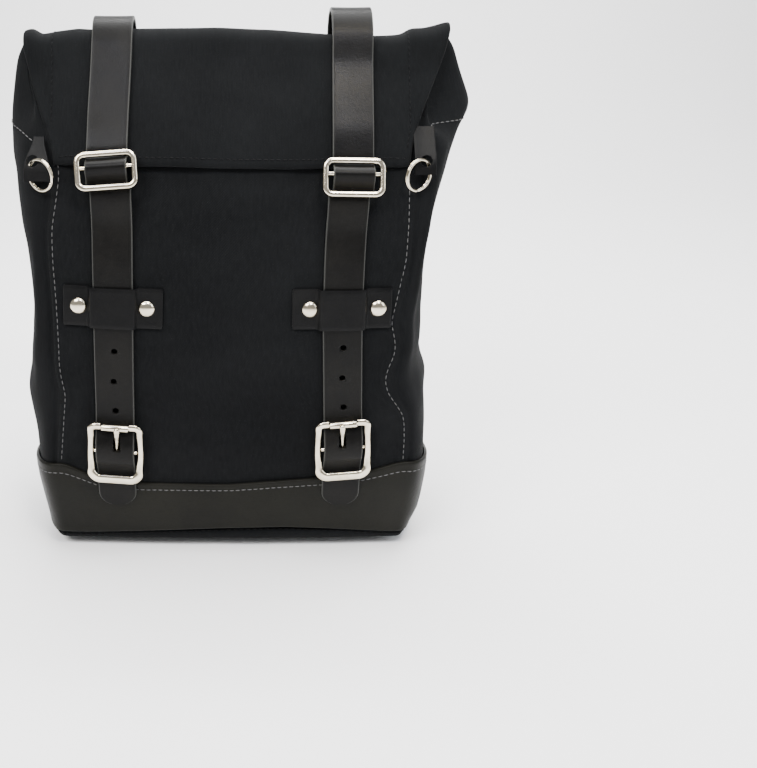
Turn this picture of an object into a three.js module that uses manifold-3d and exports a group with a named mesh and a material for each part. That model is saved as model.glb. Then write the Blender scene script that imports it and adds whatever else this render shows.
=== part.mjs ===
// Canvas pannier bag with a leather base band, a fold-over mouth flap, two leather closing
// straps with three-bar slides, riveted keepers and roller buckles, and two side rings.
// Millimetres, +Z up, +X to the right of someone facing the front, the front looks along -Y.
// The origin is the middle of the flat underside.

import * as THREE from 'three';
import Module from 'manifold-3d';
import { mergeVertices } from 'three/addons/utils/BufferGeometryUtils.js';

const wasm = await Module();
wasm.setup();

// ---- driving dimensions -------------------------------------------------------------------

// Body outline: height, half width, front, back, half distance between the front seams.
const STATIONS = [
  [12, 150, -68, 66, 130],
  [60, 157, -74, 68, 133],
  [170, 155, -74, 68, 132],
  [240, 155, -70, 68, 131],
  [285, 158, -62, 62, 131],
  [315, 162, -50, 52, 134],
  [340, 166, -37, 40, 139],
  [365, 159, -23, 24, 144],
  [387, 152, -11, 11, 147],
];
const BODY_BOTTOM = STATIONS[0][0];
const BODY_TOP = STATIONS.at(-1)[0];
const FRONT_CROWN = 3; // the front's middle stands this far proud of its seams
const SIDE_ROUNDNESS = 0.85; // 1 is an ellipse, less is squarer
const AROUND = 32; // steps round the outline, eight to a side
const CANVAS = 3; // canvas with its lining and seam allowances
const GAP = 0.3; // between pieces that are sewn or pressed together

const BASE_INSET = 8; // the rounded lower edge
const BASE_BOARD = 2;
const BAND_LOW = 14;
const BAND_HIGH = 55;
const BAND_LEATHER = 2.5;
const STIFFENER = { halfWidth: 118, low: 14, high: 236, thick: 2, clear: 1.5 };

const FLAP_THICK = 5; // the flattened mouth, two layers and a hem
const FLAP_AXIS = { y: 9, z: 391.5 };
const FLAP_CLEAR = 0.9;
const FLAP_HEM_Z = 307;
const FLAP_HALF_TOP = 150;
const FLAP_HALF_HEM = 124;

const STRAP_WIDTH = 29.4;
const STRAP = 2.8; // bridle leather
const STRAP_X = 86.5;
const UPPER_STRAP_X = 88.5;
const HOLE_PITCH = 24.5;
const HOLE_R = 2.3;
const STRAP_TIP_Z = 41;

const SLIDE = { width: 45, height: 29.4, wire: 4.4, bar: 1.5, barUp: 2.5, corner: 6.5 };
const SLIDE_Y = -67;
const SLIDE_LEAN = THREE.MathUtils.degToRad(20);
const SLIDE_PLAY = 1.1; // between the outer bars and the strap behind them

const BUCKLE = {
  width: 43.4,
  height: 50,
  side: 5, // the side bars' width
  top: 5.4,
  low: 7,
  thick: 4,
  bow: 3.5, // how far the middle of the side bars dips towards the bag
  stand: 10, // from the panel to the frame's middle plane
};
const BUCKLE_BAR_R = 1.5;
const ROLLER = { r: 2.75, bore: 1.7, half: 10.2, up: 22 };
const TONGUE = { width: 3.4, thick: 2.4, bore: 1.8, eye: 3 };
const CHAPE = { half: 12, bore: 1.9, eye: 3.2, slot: 5.2, leather: 2.8, foot: 27 };

const KEEPER = { width: 72, height: 30, leather: 2, z: 207, rivet: 25 };
const RIVET = { r: 5.6, post: 1.6, rise: 2.6 };
const RIVET_STEPS = 12;

const RING = { r: 11.7, wire: 1.3 };
const RING_TAB = { bore: 3, eye: 5, loop: 10, width: 14, length: 25, leather: 4 };
const RING_AT = new THREE.Vector3(140.5, -56.2, 311);

const RACK_LOOP = { x: 87, z: 165, half: 35, width: 30, tube: 9.5, leather: 2.8, rivet: 29 };
const BACK_RUN = { low: 222, rivets: [230, 243] };

// Left and right differ a little, as the straps do when they are buckled by hand.
const LEFT = {
  name: 'left', sign: -1, slideZ: 307, slideTurn: -4, buckleZ: 90, buckleTurn: 4.5, archTop: 405,
};
const RIGHT = {
  name: 'right', sign: 1, slideZ: 302, slideTurn: 1, buckleZ: 93, buckleTurn: -5, archTop: 414,
};

// ---- materials ----------------------------------------------------------------------------

const LOOKS = {
  canvas: { color: 0x202124, roughness: 0.95, metalness: 0 },
  leather: { color: 0x2b2a28, roughness: 0.5, metalness: 0 },
  nickel: { color: 0xd9d4c4, roughness: 0.18, metalness: 1 },
  board: { color: 0x17181a, roughness: 0.8, metalness: 0 },
};

const bag = new THREE.Group();

function add(name, look, geometry, parent = bag) {
  const mesh = new THREE.Mesh(geometry, new THREE.MeshStandardMaterial(LOOKS[look]));
  mesh.name = name;
  parent.add(mesh);
  return mesh;
}

// ---- shape helpers ------------------------------------------------------------------------

const lerp = THREE.MathUtils.lerp;
const rad = THREE.MathUtils.degToRad;

function toSolid(geometry) {
  const bare = geometry.clone();
  bare.deleteAttribute('normal');
  bare.deleteAttribute('uv');
  const merged = mergeVertices(bare, 1e-4);
  return new wasm.Manifold(new wasm.Mesh({
    numProp: 3,
    vertProperties: new Float32Array(merged.attributes.position.array),
    triVerts: new Uint32Array(merged.index.array),
  }));
}

function toGeometry(solid) {
  const mesh = solid.getMesh();
  const geometry = new THREE.BufferGeometry();
  geometry.setAttribute('position', new THREE.BufferAttribute(mesh.vertProperties, 3));
  geometry.setIndex(new THREE.BufferAttribute(mesh.triVerts, 1));
  geometry.computeVertexNormals();
  return geometry;
}

// Adds and cuts geometries: carve(body, { add: [...], cut: [...] }).
function carve(body, { add: joined = [], cut = [] }) {
  let solid = toSolid(body);
  for (const piece of joined) {
    solid = solid.add(toSolid(piece));
  }
  for (const piece of cut) {
    solid = solid.subtract(toSolid(piece));
  }
  return toGeometry(solid);
}

// A box bent to a shape: map(u, v, w) places a point whose u, v and w run from 0 to 1.
// u cross v points the way that w grows.
function bentBox(stepsU, stepsV, map) {
  const geometry = new THREE.BoxGeometry(1, 1, 1, stepsU, stepsV, 1);
  const at = geometry.attributes.position;
  for (let i = 0; i < at.count; i += 1) {
    const p = map(at.getX(i) + 0.5, at.getY(i) + 0.5, at.getZ(i) + 0.5);
    at.setXYZ(i, p.x, p.y, p.z);
  }
  geometry.computeVertexNormals();
  return geometry;
}

// A round bar along X.
function barX(r, half, y = 0, z = 0, steps = 12) {
  return new THREE.CylinderGeometry(r, r, 2 * half, steps).rotateZ(Math.PI / 2).translate(0, y, z);
}

function block(width, depth, height, x, y, z) {
  return new THREE.BoxGeometry(width, depth, height).translate(x, y, z);
}

// A strip along a side-view line of [y, z] points, width along X, centred on x = 0.
// shear(z) leans the strip's cross lines, so that it crosses a turned buckle squarely.
function strip(line, thick, width, steps, shear = () => 0) {
  const curve = new THREE.CatmullRomCurve3(line.map(([y, z]) => new THREE.Vector3(0, y, z)));
  return bentBox(1, steps, (u, v, w) => {
    const p = curve.getPointAt(v);
    const t = curve.getTangentAt(v);
    const across = (u - 0.5) * width;
    const out = (w - 0.5) * thick;
    return new THREE.Vector3(across, p.y - t.z * out, p.z + t.y * out + across * shear(p.z));
  });
}

// ---- the body's outline -------------------------------------------------------------------

function station(z) {
  let i = 0;
  while (i < STATIONS.length - 2 && z > STATIONS[i + 1][0]) {
    i += 1;
  }
  const [a, b] = [STATIONS[i], STATIONS[i + 1]];
  const t = THREE.MathUtils.clamp((z - a[0]) / (b[0] - a[0]), 0, 1);
  const [, half, front, back, seam] = a.map((value, k) => lerp(value, b[k], t));
  return { half, front, back, seam };
}

// One way round the bag: 0 to 1 is the front from left to right, 1 to 2 the right side,
// 2 to 3 the back and 3 to 4 the left side.
function outline(q, z) {
  const { half, front, back, seam } = station(z);
  const turn = ((q % 4) + 4) % 4;
  if (turn < 1) {
    const x = lerp(-seam, seam, turn);
    return new THREE.Vector2(x, front + FRONT_CROWN * (x / seam) ** 2);
  }
  if (turn >= 2 && turn < 3) {
    return new THREE.Vector2(lerp(seam, -seam, turn - 2), back);
  }
  const sign = turn < 2 ? 1 : -1;
  const t = turn < 2 ? turn - 1 : 4 - turn;
  const nearFront = front + FRONT_CROWN;
  const angle = Math.PI * t;
  const away = Math.sin(angle) ** SIDE_ROUNDNESS;
  const along = Math.sign(Math.cos(angle)) * Math.abs(Math.cos(angle)) ** SIDE_ROUNDNESS;
  const y = (nearFront + back) / 2 - ((back - nearFront) / 2) * along;
  return new THREE.Vector2(sign * (seam + (half - seam) * away), y);
}

function outlinePoint(q, z, out) {
  const p = outline(q, z);
  const step = 0.02;
  const t = outline(q + step, z).sub(outline(q - step, z)).normalize();
  return new THREE.Vector3(p.x + t.y * out, p.y - t.x * out, z);
}

function frontY(x, z) {
  const { front, seam } = station(z);
  return front + FRONT_CROWN * (x / seam) ** 2;
}

// ---- body panels --------------------------------------------------------------------------

// A panel between two places round the outline, its rows at the stations.
function panel(from, to, stepsU) {
  const rows = STATIONS.length - 1;
  const margin = 0.003;
  return bentBox(stepsU, rows, (u, v, w) => {
    const z = STATIONS[Math.round(v * rows)][0];
    const q = lerp(from + margin, to - margin, u);
    return outlinePoint(q, z, (w - 1) * CANVAS);
  });
}

add('front_panel', 'canvas', panel(0, 1, 8));
add('side_panel_right', 'canvas', panel(1, 2, 8));
add('back_panel', 'canvas', panel(2, 3, 6));
add('side_panel_left', 'canvas', panel(3, 4, 8));

// A closed turning round the bag. The profile's points are { out, z } off the outline, or
// { centre: true, z } in the middle; levelZ says which height's outline each point follows.
function turned(profile, levelZ = (z) => z) {
  const points = profile.map(({ centre }, row) => new THREE.Vector2(centre ? 0 : 1, row));
  const geometry = new THREE.LatheGeometry(points, AROUND);
  const at = geometry.attributes.position;
  for (let i = 0; i < at.count; i += 1) {
    const { centre, out, z } = profile[Math.round(at.getY(i))];
    const around = Math.floor(i / profile.length) % AROUND;
    const p = centre ? new THREE.Vector3() : outlinePoint((4 * around) / AROUND, levelZ(z), out);
    at.setXYZ(i, p.x, p.y, z);
  }
  return geometry;
}

const onFloor = () => BODY_BOTTOM;

add('base_panel', 'canvas', turned([
  { centre: true, z: 0 },
  { out: -BASE_INSET, z: 0 },
  { out: -3, z: 3 },
  { out: -0.6, z: 8 },
  { out: 0, z: BODY_BOTTOM - GAP },
  { out: -CANVAS, z: BODY_BOTTOM - GAP },
  { out: -CANVAS - 2, z: CANVAS },
  { centre: true, z: CANVAS },
], onFloor));

const BOARD_OUT = -CANVAS - 6;

add('base_board', 'board', turned([
  { centre: true, z: CANVAS + GAP },
  { out: BOARD_OUT, z: CANVAS + GAP },
  { out: BOARD_OUT, z: CANVAS + GAP + BASE_BOARD },
  { centre: true, z: CANVAS + GAP + BASE_BOARD },
], onFloor));

add('back_stiffener', 'board', block(
  2 * STIFFENER.halfWidth,
  STIFFENER.thick,
  STIFFENER.high - STIFFENER.low,
  0,
  STATIONS[0][3] - CANVAS - STIFFENER.clear - STIFFENER.thick,
  (STIFFENER.high + STIFFENER.low) / 2,
));

add('base_band', 'leather', turned([
  { out: GAP, z: BAND_LOW },
  { out: GAP + BAND_LEATHER, z: BAND_LOW },
  { out: GAP + BAND_LEATHER, z: BAND_HIGH },
  { out: GAP, z: BAND_HIGH },
  { out: GAP, z: BAND_LOW },
]));

// ---- the mouth flap -----------------------------------------------------------------------

function flapLine() {
  const out = FLAP_CLEAR + FLAP_THICK / 2;
  const line = [[FLAP_AXIS.y, FLAP_AXIS.z], [-6, FLAP_AXIS.z], [-12.4, FLAP_AXIS.z - 1.8]];
  for (const z of [BODY_TOP - 3, 365, 340, 315, FLAP_HEM_Z]) {
    const slope = (station(z - 4).front - station(z + 2).front) / 6;
    const n = new THREE.Vector2(-1, -slope).normalize();
    line.push([station(z).front + out * n.x, z + out * n.y]);
  }
  return line;
}

const FLAP_LINE = flapLine();
const FLAP_CURVE = new THREE.CatmullRomCurve3(FLAP_LINE.map(([y, z]) => new THREE.Vector3(0, y, z)));

function flap() {
  return bentBox(10, 16, (u, v, w) => {
    const along = 1 - v;
    const p = FLAP_CURVE.getPointAt(along);
    const t = FLAP_CURVE.getTangentAt(along);
    const down = Math.max(0, (BODY_TOP - p.z) / (BODY_TOP - FLAP_HEM_Z));
    const half = lerp(FLAP_HALF_TOP, FLAP_HALF_HEM, down);
    const x = (2 * u - 1) * half;
    const out = (w - 0.5) * FLAP_THICK;
    const crown = FRONT_CROWN * (x / FLAP_HALF_TOP) ** 2 * Math.min(1, along * 4);
    return new THREE.Vector3(x, p.y + t.z * out + crown, p.z - t.y * out);
  });
}

add('flap', 'canvas', flap());

// ---- metal frames -------------------------------------------------------------------------

// A rounded rectangle as a list of points, with extra points down its sides.
function roundedRect(width, height, lowCorner, highCorner, steps) {
  const points = [];
  const corners = [
    [1, -1, lowCorner, -90],
    [1, 1, highCorner, 0],
    [-1, 1, highCorner, 90],
    [-1, -1, lowCorner, 180],
  ];
  corners.forEach(([sx, sy, r, start], k) => {
    const cx = sx * (width / 2 - r);
    const cy = sy * (height / 2 - r);
    for (let i = 0; i <= steps; i += 1) {
      const a = rad(start + (90 * i) / steps);
      points.push(new THREE.Vector2(cx + r * Math.cos(a), cy + r * Math.sin(a)));
    }
    if (k % 2 === 0) {
      const [low, high] = [-height / 2 + lowCorner, height / 2 - highCorner];
      for (const share of [0.25, 0.5, 0.75]) {
        const y = sx > 0 ? lerp(low, high, share) : lerp(high, low, share);
        points.push(new THREE.Vector2((sx * width) / 2, y));
      }
    }
  });
  return points;
}

// A flat wire frame in the XZ plane, its middle at y = 0, with bevelled edges.
function wireFrame(outer, inner, innerShift, thick, bevel) {
  const shape = new THREE.Shape(outer);
  const window = inner.map((p) => new THREE.Vector2(p.x, p.y + innerShift)).reverse();
  shape.holes.push(new THREE.Path(window));
  const geometry = new THREE.ExtrudeGeometry(shape, {
    depth: thick - 2 * bevel,
    bevelEnabled: true,
    bevelThickness: bevel,
    bevelSize: bevel,
    bevelOffset: -bevel,
    bevelSegments: 1,
    steps: 1,
  });
  return geometry.translate(0, 0, -(thick - 2 * bevel) / 2).rotateX(Math.PI / 2);
}

function slideFrame() {
  const { width, height, wire, corner, bar, barUp } = SLIDE;
  const outer = roundedRect(width, height, corner, corner, 4);
  const inner = roundedRect(width - 2 * wire, height - 2 * wire, corner - wire, corner - wire, 4);
  const ring = wireFrame(outer, inner, 0, wire, wire * 0.3);
  return carve(ring, { add: [barX(bar, width / 2 - wire + 1, 0, barUp)] });
}

function buckleFrame() {
  const { width, height, side, top, low, thick, bow } = BUCKLE;
  const outer = roundedRect(width, height, 9, 5.5, 4);
  const inner = roundedRect(width - 2 * side, height - top - low, 4.5, 2.5, 4);
  const flat = wireFrame(outer, inner, (low - top) / 2, thick, 1.1);
  const at = flat.attributes.position;
  for (let i = 0; i < at.count; i += 1) {
    at.setY(i, at.getY(i) + bow * (1 - (at.getZ(i) / (height / 2)) ** 2) ** 2);
  }
  const gap = ROLLER.half + GAP;
  return carve(flat, {
    cut: [block(2 * gap, 3 * thick, top + 3, 0, 0, height / 2 - top / 2 + 0.4)],
    add: [
      barX(1.4, gap + 1.5, 0, ROLLER.up),
      barX(BUCKLE_BAR_R, width / 2 - side + 1.5, bow, 0),
    ],
  });
}

function roller() {
  const { r, bore, half } = ROLLER;
  const profile = [[bore, -half], [r, -half], [r, half], [bore, half], [bore, -half]];
  const points = profile.map(([x, y]) => new THREE.Vector2(x, y));
  return new THREE.LatheGeometry(points, 14).rotateZ(Math.PI / 2);
}

// ---- straps, slides and buckles -----------------------------------------------------------

// The buckle's bar in the buckle's own frame, y towards the bag.
const BAR_Y = -BUCKLE.stand + BUCKLE.bow;

function tongue() {
  const { width, thick, bore, eye } = TONGUE;
  const line = [[-8.3, 0.5], [-8.6, 6], [-10.4, 11.5], [-13, 17], [-14.3, 21.5], [-14.5, 25.5]];
  const arm = strip(line, thick, width, 14);
  return carve(barX(eye, width / 2, BAR_Y, 0, 16), {
    add: [arm],
    cut: [barX(bore, width, BAR_Y, 0, 16)],
  });
}

function chape() {
  const { half, bore, eye, slot, leather, foot } = CHAPE;
  const line = [[-1.9, -foot], [-1.9, -14], [-2.6, -10], [-4.6, -5], [BAR_Y, -1]];
  return carve(barX(eye, half, BAR_Y, 0, 16), {
    add: [strip(line, leather, 2 * half, 12)],
    cut: [barX(bore, half + 1, BAR_Y, 0, 16), block(slot, 8, 12, 0, BAR_Y, 0)],
  });
}

// Where the strap's middle plane runs in front of the panel: [height over the bar, distance].
const WEAVE = [
  [-36, 5], [-23, 5.1], [-18, 5.3], [-12, 7.2], [-6, 10.2], [0, 11.4], [8, 10.2],
  [15, 7.2], [19, 5.8], [22, 5.3], [32, 3],
];
const STRAP_STAND = 2.4; // the same, where the strap lies flat
const STRAP_TIP_STAND = 4.9;
const TONGUE_SLOT = { width: 5.6, height: 12, up: 7 };
const STRAP_HOLES = 3; // below the slide, over the buckle

function lowerStrap({ sign, slideZ, buckleZ, buckleTurn }) {
  const x = sign * STRAP_X;
  const tip = [frontY(x, STRAP_TIP_Z) - STRAP_TIP_STAND, STRAP_TIP_Z];
  const buckled = WEAVE.map(([up, out]) => [frontY(x, buckleZ + up) - out, buckleZ + up]);
  const flat = [150, 175, 207, 240].map((z) => [frontY(x, z) - STRAP_STAND, z]);
  const risen = [frontY(x, slideZ - 40) - 3.5, slideZ - 40];
  const top = [slidePoint(slideZ, -17, -4.7), slidePoint(slideZ, -11.9, -4.7)];
  const line = [tip, ...buckled, ...flat, risen, ...top];
  const lean = (z) => -Math.tan(rad(buckleTurn)) * fade(Math.abs(z - buckleZ), 28, 48);
  const body = strip(line, STRAP, STRAP_WIDTH, 40, lean);
  const cut = [tipCutter()];
  for (let k = 1; k <= STRAP_HOLES; k += 1) {
    const hole = new THREE.CylinderGeometry(HOLE_R, HOLE_R, 30, 12);
    cut.push(hole.translate(0, frontY(x, buckleZ), buckleZ + 9 + k * HOLE_PITCH));
  }
  const slot = TONGUE_SLOT;
  cut.push(block(slot.width, 14, slot.height, 0, frontY(x, buckleZ) - BUCKLE.stand, buckleZ + slot.up));
  return carve(body, { cut }).translate(x, 0, 0);
}

// 1 up to the near distance, 0 from the far one.
function fade(distance, near, far) {
  return 1 - THREE.MathUtils.smoothstep(distance, near, far);
}

// What is cut off the strap's end to leave a round tip.
function tipCutter() {
  const r = STRAP_WIDTH / 2;
  const shape = new THREE.Shape([
    new THREE.Vector2(-r - 5, -8),
    new THREE.Vector2(r + 5, -8),
    new THREE.Vector2(r + 5, r * 0.7),
    ...Array.from({ length: 13 }, (_, i) => {
      const a = -Math.PI * (i / 12);
      return new THREE.Vector2((r + 0.2) * Math.cos(a), r * 0.7 * (1 + Math.sin(a)) + 0.01);
    }),
    new THREE.Vector2(-r - 5, r * 0.7),
  ]);
  const plate = new THREE.ExtrudeGeometry(shape, { depth: 60, bevelEnabled: false });
  return plate.rotateX(Math.PI / 2).translate(0, -50, STRAP_TIP_Z);
}

// A point in the slide's frame, up its face and out from it, as [y, z].
function slidePoint(slideZ, up, out) {
  const [s, c] = [Math.sin(SLIDE_LEAN), Math.cos(SLIDE_LEAN)];
  return [SLIDE_Y + up * s - out * c, slideZ + up * c + out * s];
}

function flapStrapPoint(along) {
  const p = FLAP_CURVE.getPointAt(along);
  const t = FLAP_CURVE.getTangentAt(along);
  const out = FLAP_THICK / 2 + 0.7 + STRAP / 2;
  return [p.y + t.z * out, p.z - t.y * out];
}

const BEND_FRONT = 0.33; // where along the flap the strap's bend comes down on it

function upperStrap({ sign, slideZ, slideTurn }) {
  const behind = -(SLIDE.wire / 2 + SLIDE_PLAY + STRAP / 2);
  const half = SLIDE.height / 2 - SLIDE.wire / 2;
  const { barUp } = SLIDE;
  const wrap = [
    [half + 5, behind], [half, behind], [half - 3.5, behind + 1.5], [barUp + 3.4, 1.4], [barUp, 3.5],
    [barUp - 3, 2.4], [-5, -1.9], [-8, -4.1], [-10.1, behind],
  ];
  const line = [0, 0.25, 0.5, 0.75].map((k) => flapStrapPoint(lerp(BEND_FRONT, 0.86, k)));
  line.push(...wrap.map(([up, out]) => slidePoint(slideZ, up, out)));
  line.reverse();
  const lean = (z) => -Math.tan(rad(slideTurn)) * fade(Math.abs(z - slideZ), 18, 40);
  return strip(line, STRAP, STRAP_WIDTH, 48, lean).translate(sign * UPPER_STRAP_X, 0, 0);
}

function backRunLine() {
  const out = GAP + 0.3 + STRAP / 2;
  const line = [BACK_RUN.low, 238, 262, 285, 315, 340, 365, 378].map((z) => {
    const slope = (station(z + 3).back - station(z - 3).back) / 6;
    const n = new THREE.Vector2(1, -slope).normalize();
    return [station(z).back + out * n.x, z + out * n.y];
  });
  return line;
}

function backRun({ sign }) {
  const body = strip(backRunLine().reverse(), STRAP, STRAP_WIDTH, 14);
  const posts = BACK_RUN.rivets.map((z) => rivetHole(0, station(z).back + 2, z));
  return carve(body, { cut: posts }).translate(sign * UPPER_STRAP_X, 0, 0);
}

function strapBend({ sign, archTop }) {
  const back = backRunLine().at(-1);
  const front = flapStrapPoint(BEND_FRONT);
  const crest = archTop - STRAP / 2;
  const lowFront = flapStrapPoint(BEND_FRONT - 0.03);
  const line = [
    [back[0] - 0.6, back[1] + 1.1],
    [back[0] - 2.5, back[1] + 8],
    [back[0] - 5, crest - 6],
    [-1, crest],
    [-11, crest - 5],
    [lowFront[0] + 1.5, Math.max(lowFront[1] + 4, crest - 16)],
    [front[0] + 0.9, front[1] + 1.4],
  ];
  return strip(line.reverse(), STRAP, STRAP_WIDTH, 20).translate(sign * UPPER_STRAP_X, 0, 0);
}

// The hole that a rivet's post goes through.
function rivetHole(x, y, z) {
  const r = RIVET.post + GAP;
  return new THREE.CylinderGeometry(r, r, 12, 10).translate(x, y, z);
}

// A domed rivet with its post, standing along -Y from the leather's face at y = 0.
function rivet(post) {
  const { r, rise } = RIVET;
  const profile = [
    [0, -post], [RIVET.post, -post], [RIVET.post, 0], [r, 0], [r * 0.95, rise * 0.45],
    [r * 0.65, rise * 0.85], [0, rise],
  ];
  const points = profile.map(([x, y]) => new THREE.Vector2(x, y));
  return new THREE.LatheGeometry(points, RIVET_STEPS).rotateX(Math.PI);
}

function keeper({ sign }) {
  const { width, height, leather, z } = KEEPER;
  const strapHalf = STRAP_WIDTH / 2 + 1;
  const over = STRAP_STAND + STRAP / 2 + 0.9;
  const body = bentBox(24, 3, (u, v, w) => {
    const local = (u - 0.5) * width;
    const rise = fade(Math.abs(local), strapHalf, strapHalf + 3);
    const at = new THREE.Vector3(sign * STRAP_X + local, 0, z + (v - 0.5) * height);
    at.y = frontY(at.x, at.z) - lerp(GAP, over, rise) - w * leather;
    return at;
  });
  const holes = [-1, 1].map((side) => {
    const at = sign * STRAP_X + side * KEEPER.rivet;
    return rivetHole(at, frontY(at, z) - 1, z);
  });
  return carve(body, { cut: holes });
}

function rackLoop({ sign }) {
  const { x, z, half, width, tube, leather, rivet: rivetUp } = RACK_LOOP;
  const y = station(z).back + GAP + leather / 2;
  const peak = y + 2 * tube + 1;
  const line = [
    [y, z - half], [y, z - rivetUp + 6], [y + 1.2, z - 18], [peak - 5, z - tube - 3], [peak, z - 4],
    [peak, z + 4], [peak - 5, z + tube + 3], [y + 1.2, z + 18], [y, z + rivetUp - 6], [y, z + half],
  ];
  const posts = [-rivetUp, rivetUp].map((up) => rivetHole(0, y, z + up));
  const body = strip(line.reverse(), leather, width, 30);
  return carve(body, { cut: posts }).translate(sign * x, 0, 0);
}

// ---- side rings ---------------------------------------------------------------------------

// The ring tab's frame: down along the tab, out from the bag, and along the ring's bore.
function ringFrame(sign) {
  const down = new THREE.Vector3(-0.5 * sign, -0.3, -0.81).normalize();
  const out = new THREE.Vector3(0.35 * sign, -0.85, 0.45);
  out.addScaledVector(down, -out.dot(down)).normalize();
  const bore = new THREE.Vector3().crossVectors(out, down);
  const group = new THREE.Group();
  const turn = new THREE.Matrix4().makeBasis(bore, out.clone().negate(), down.clone().negate());
  group.setRotationFromMatrix(turn);
  group.position.set(RING_AT.x * sign, RING_AT.y, RING_AT.z);
  return group;
}

function ringTab() {
  const { bore, eye, loop, width, length, leather } = RING_TAB;
  const plate = block(width, leather, length, 0, eye - leather / 2, length / 2 + 2);
  return carve(barX(eye, loop / 2, 0, 0, 16), {
    add: [plate],
    cut: [barX(bore, width, 0, 0, 16)],
  });
}

function strapRing() {
  const ring = new THREE.TorusGeometry(RING.r, RING.wire, 8, 28).rotateX(Math.PI / 2);
  return ring.translate(0, 0, -RING.r);
}

// ---- assembly of the two sides ------------------------------------------------------------

for (const side of [LEFT, RIGHT]) {
  const { name, sign, slideZ, slideTurn, buckleZ, buckleTurn } = side;

  add(`lower_strap_${name}`, 'leather', lowerStrap(side));
  add(`upper_strap_${name}`, 'leather', upperStrap(side));
  add(`strap_bend_${name}`, 'leather', strapBend(side));
  add(`strap_back_run_${name}`, 'leather', backRun(side));
  add(`keeper_${name}`, 'leather', keeper(side));
  add(`rack_loop_${name}`, 'leather', rackLoop(side));

  const slide = new THREE.Group();
  slide.position.set(sign * UPPER_STRAP_X, SLIDE_Y, slideZ);
  slide.rotation.set(-SLIDE_LEAN, rad(slideTurn), 0);
  add(`slide_${name}`, 'nickel', slideFrame(), slide);

  const buckle = new THREE.Group();
  buckle.position.set(sign * STRAP_X, frontY(STRAP_X, buckleZ), buckleZ);
  buckle.rotation.set(0, rad(buckleTurn), 0);
  add(`buckle_frame_${name}`, 'nickel', buckleFrame().translate(0, -BUCKLE.stand, 0), buckle);
  add(`buckle_roller_${name}`, 'nickel', roller().translate(0, -BUCKLE.stand, ROLLER.up), buckle);
  add(`buckle_tongue_${name}`, 'nickel', tongue(), buckle);
  add(`buckle_chape_${name}`, 'leather', chape(), buckle);

  for (const [where, across] of [['inner', -sign], ['outer', sign]]) {
    const cap = add(`keeper_rivet_${name}_${where}`, 'nickel', rivet(2.2));
    const x = sign * STRAP_X + across * KEEPER.rivet;
    const rise = (frontY(x, KEEPER.z + 5) - frontY(x, KEEPER.z - 5)) / 10;
    const lean = Math.atan(rise);
    cap.position.set(x, frontY(x, KEEPER.z) - GAP - KEEPER.leather - 0.5, KEEPER.z);
    cap.rotation.set(-lean, 0, 0);
  }

  BACK_RUN.rivets.forEach((z, i) => {
    const cap = add(`anchor_rivet_${name}_${['low', 'high'][i]}`, 'nickel', rivet(2.6));
    cap.position.set(sign * UPPER_STRAP_X, station(z).back + GAP + 0.3 + STRAP + 0.5, z);
    cap.rotation.set(0, 0, Math.PI);
  });

  for (const [where, up] of [['low', -RACK_LOOP.rivet], ['high', RACK_LOOP.rivet]]) {
    const cap = add(`loop_rivet_${name}_${where}`, 'nickel', rivet(2.6));
    const y = station(RACK_LOOP.z).back + GAP + RACK_LOOP.leather + 0.4;
    cap.position.set(sign * RACK_LOOP.x, y, RACK_LOOP.z + up);
    cap.rotation.set(0, 0, Math.PI);
  }

  const hang = ringFrame(sign);
  add(`ring_tab_${name}`, 'leather', ringTab(), hang);
  add(`strap_ring_${name}`, 'nickel', strapRing(), hang);

  bag.add(slide, buckle, hang);
}

export default bag;
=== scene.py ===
# Canvas pannier bag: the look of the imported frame. Metres, in the frame's own axes:
# the strapped front looks along -Y, +Z is up, the origin is the middle of the underside.
import bmesh
import bpy
import math
import numpy as np
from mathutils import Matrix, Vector, noise


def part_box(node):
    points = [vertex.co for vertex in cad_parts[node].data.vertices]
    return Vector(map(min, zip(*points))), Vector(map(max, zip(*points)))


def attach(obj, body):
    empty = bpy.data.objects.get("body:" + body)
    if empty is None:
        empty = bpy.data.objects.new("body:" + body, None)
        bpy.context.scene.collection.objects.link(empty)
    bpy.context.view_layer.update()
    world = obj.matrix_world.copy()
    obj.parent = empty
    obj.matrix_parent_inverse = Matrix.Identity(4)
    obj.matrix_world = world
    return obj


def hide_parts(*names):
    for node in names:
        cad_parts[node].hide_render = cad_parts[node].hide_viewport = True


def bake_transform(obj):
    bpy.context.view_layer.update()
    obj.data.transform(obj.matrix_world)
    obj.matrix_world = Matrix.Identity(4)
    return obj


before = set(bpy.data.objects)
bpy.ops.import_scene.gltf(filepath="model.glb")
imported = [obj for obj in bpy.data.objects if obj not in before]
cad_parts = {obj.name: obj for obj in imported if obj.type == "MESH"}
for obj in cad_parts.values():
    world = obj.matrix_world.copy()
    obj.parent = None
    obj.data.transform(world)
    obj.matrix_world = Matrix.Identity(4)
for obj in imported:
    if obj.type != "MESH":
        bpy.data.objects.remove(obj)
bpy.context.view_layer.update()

MM = 0.001
SIDES = {"left": -1, "right": 1}


# ---- camera, light and floor ------------------------------------------------------------------

def look(scene):
    camera = bpy.data.cameras.new("camera")
    camera.lens = 41.53
    camera.sensor_width = 36
    camera.shift_x = 0.194
    camera.shift_y = -0.109
    holder = bpy.data.objects.new("camera", camera)
    holder.location = (0, -0.6831, 0.4341)
    holder.rotation_euler = (math.radians(70), 0, 0)
    scene.collection.objects.link(holder)
    scene.camera = holder


def lamp(name, at, aim, size, power, tint=(1, 1, 1)):
    light = bpy.data.lights.new(name, "AREA")
    light.shape = "RECTANGLE"
    light.size, light.size_y = size
    light.energy = power
    light.color = tint
    holder = bpy.data.objects.new(name, light)
    holder.location = at
    holder.rotation_euler = (Vector(aim) - Vector(at)).to_track_quat("-Z", "Y").to_euler()
    bpy.context.scene.collection.objects.link(holder)


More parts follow.
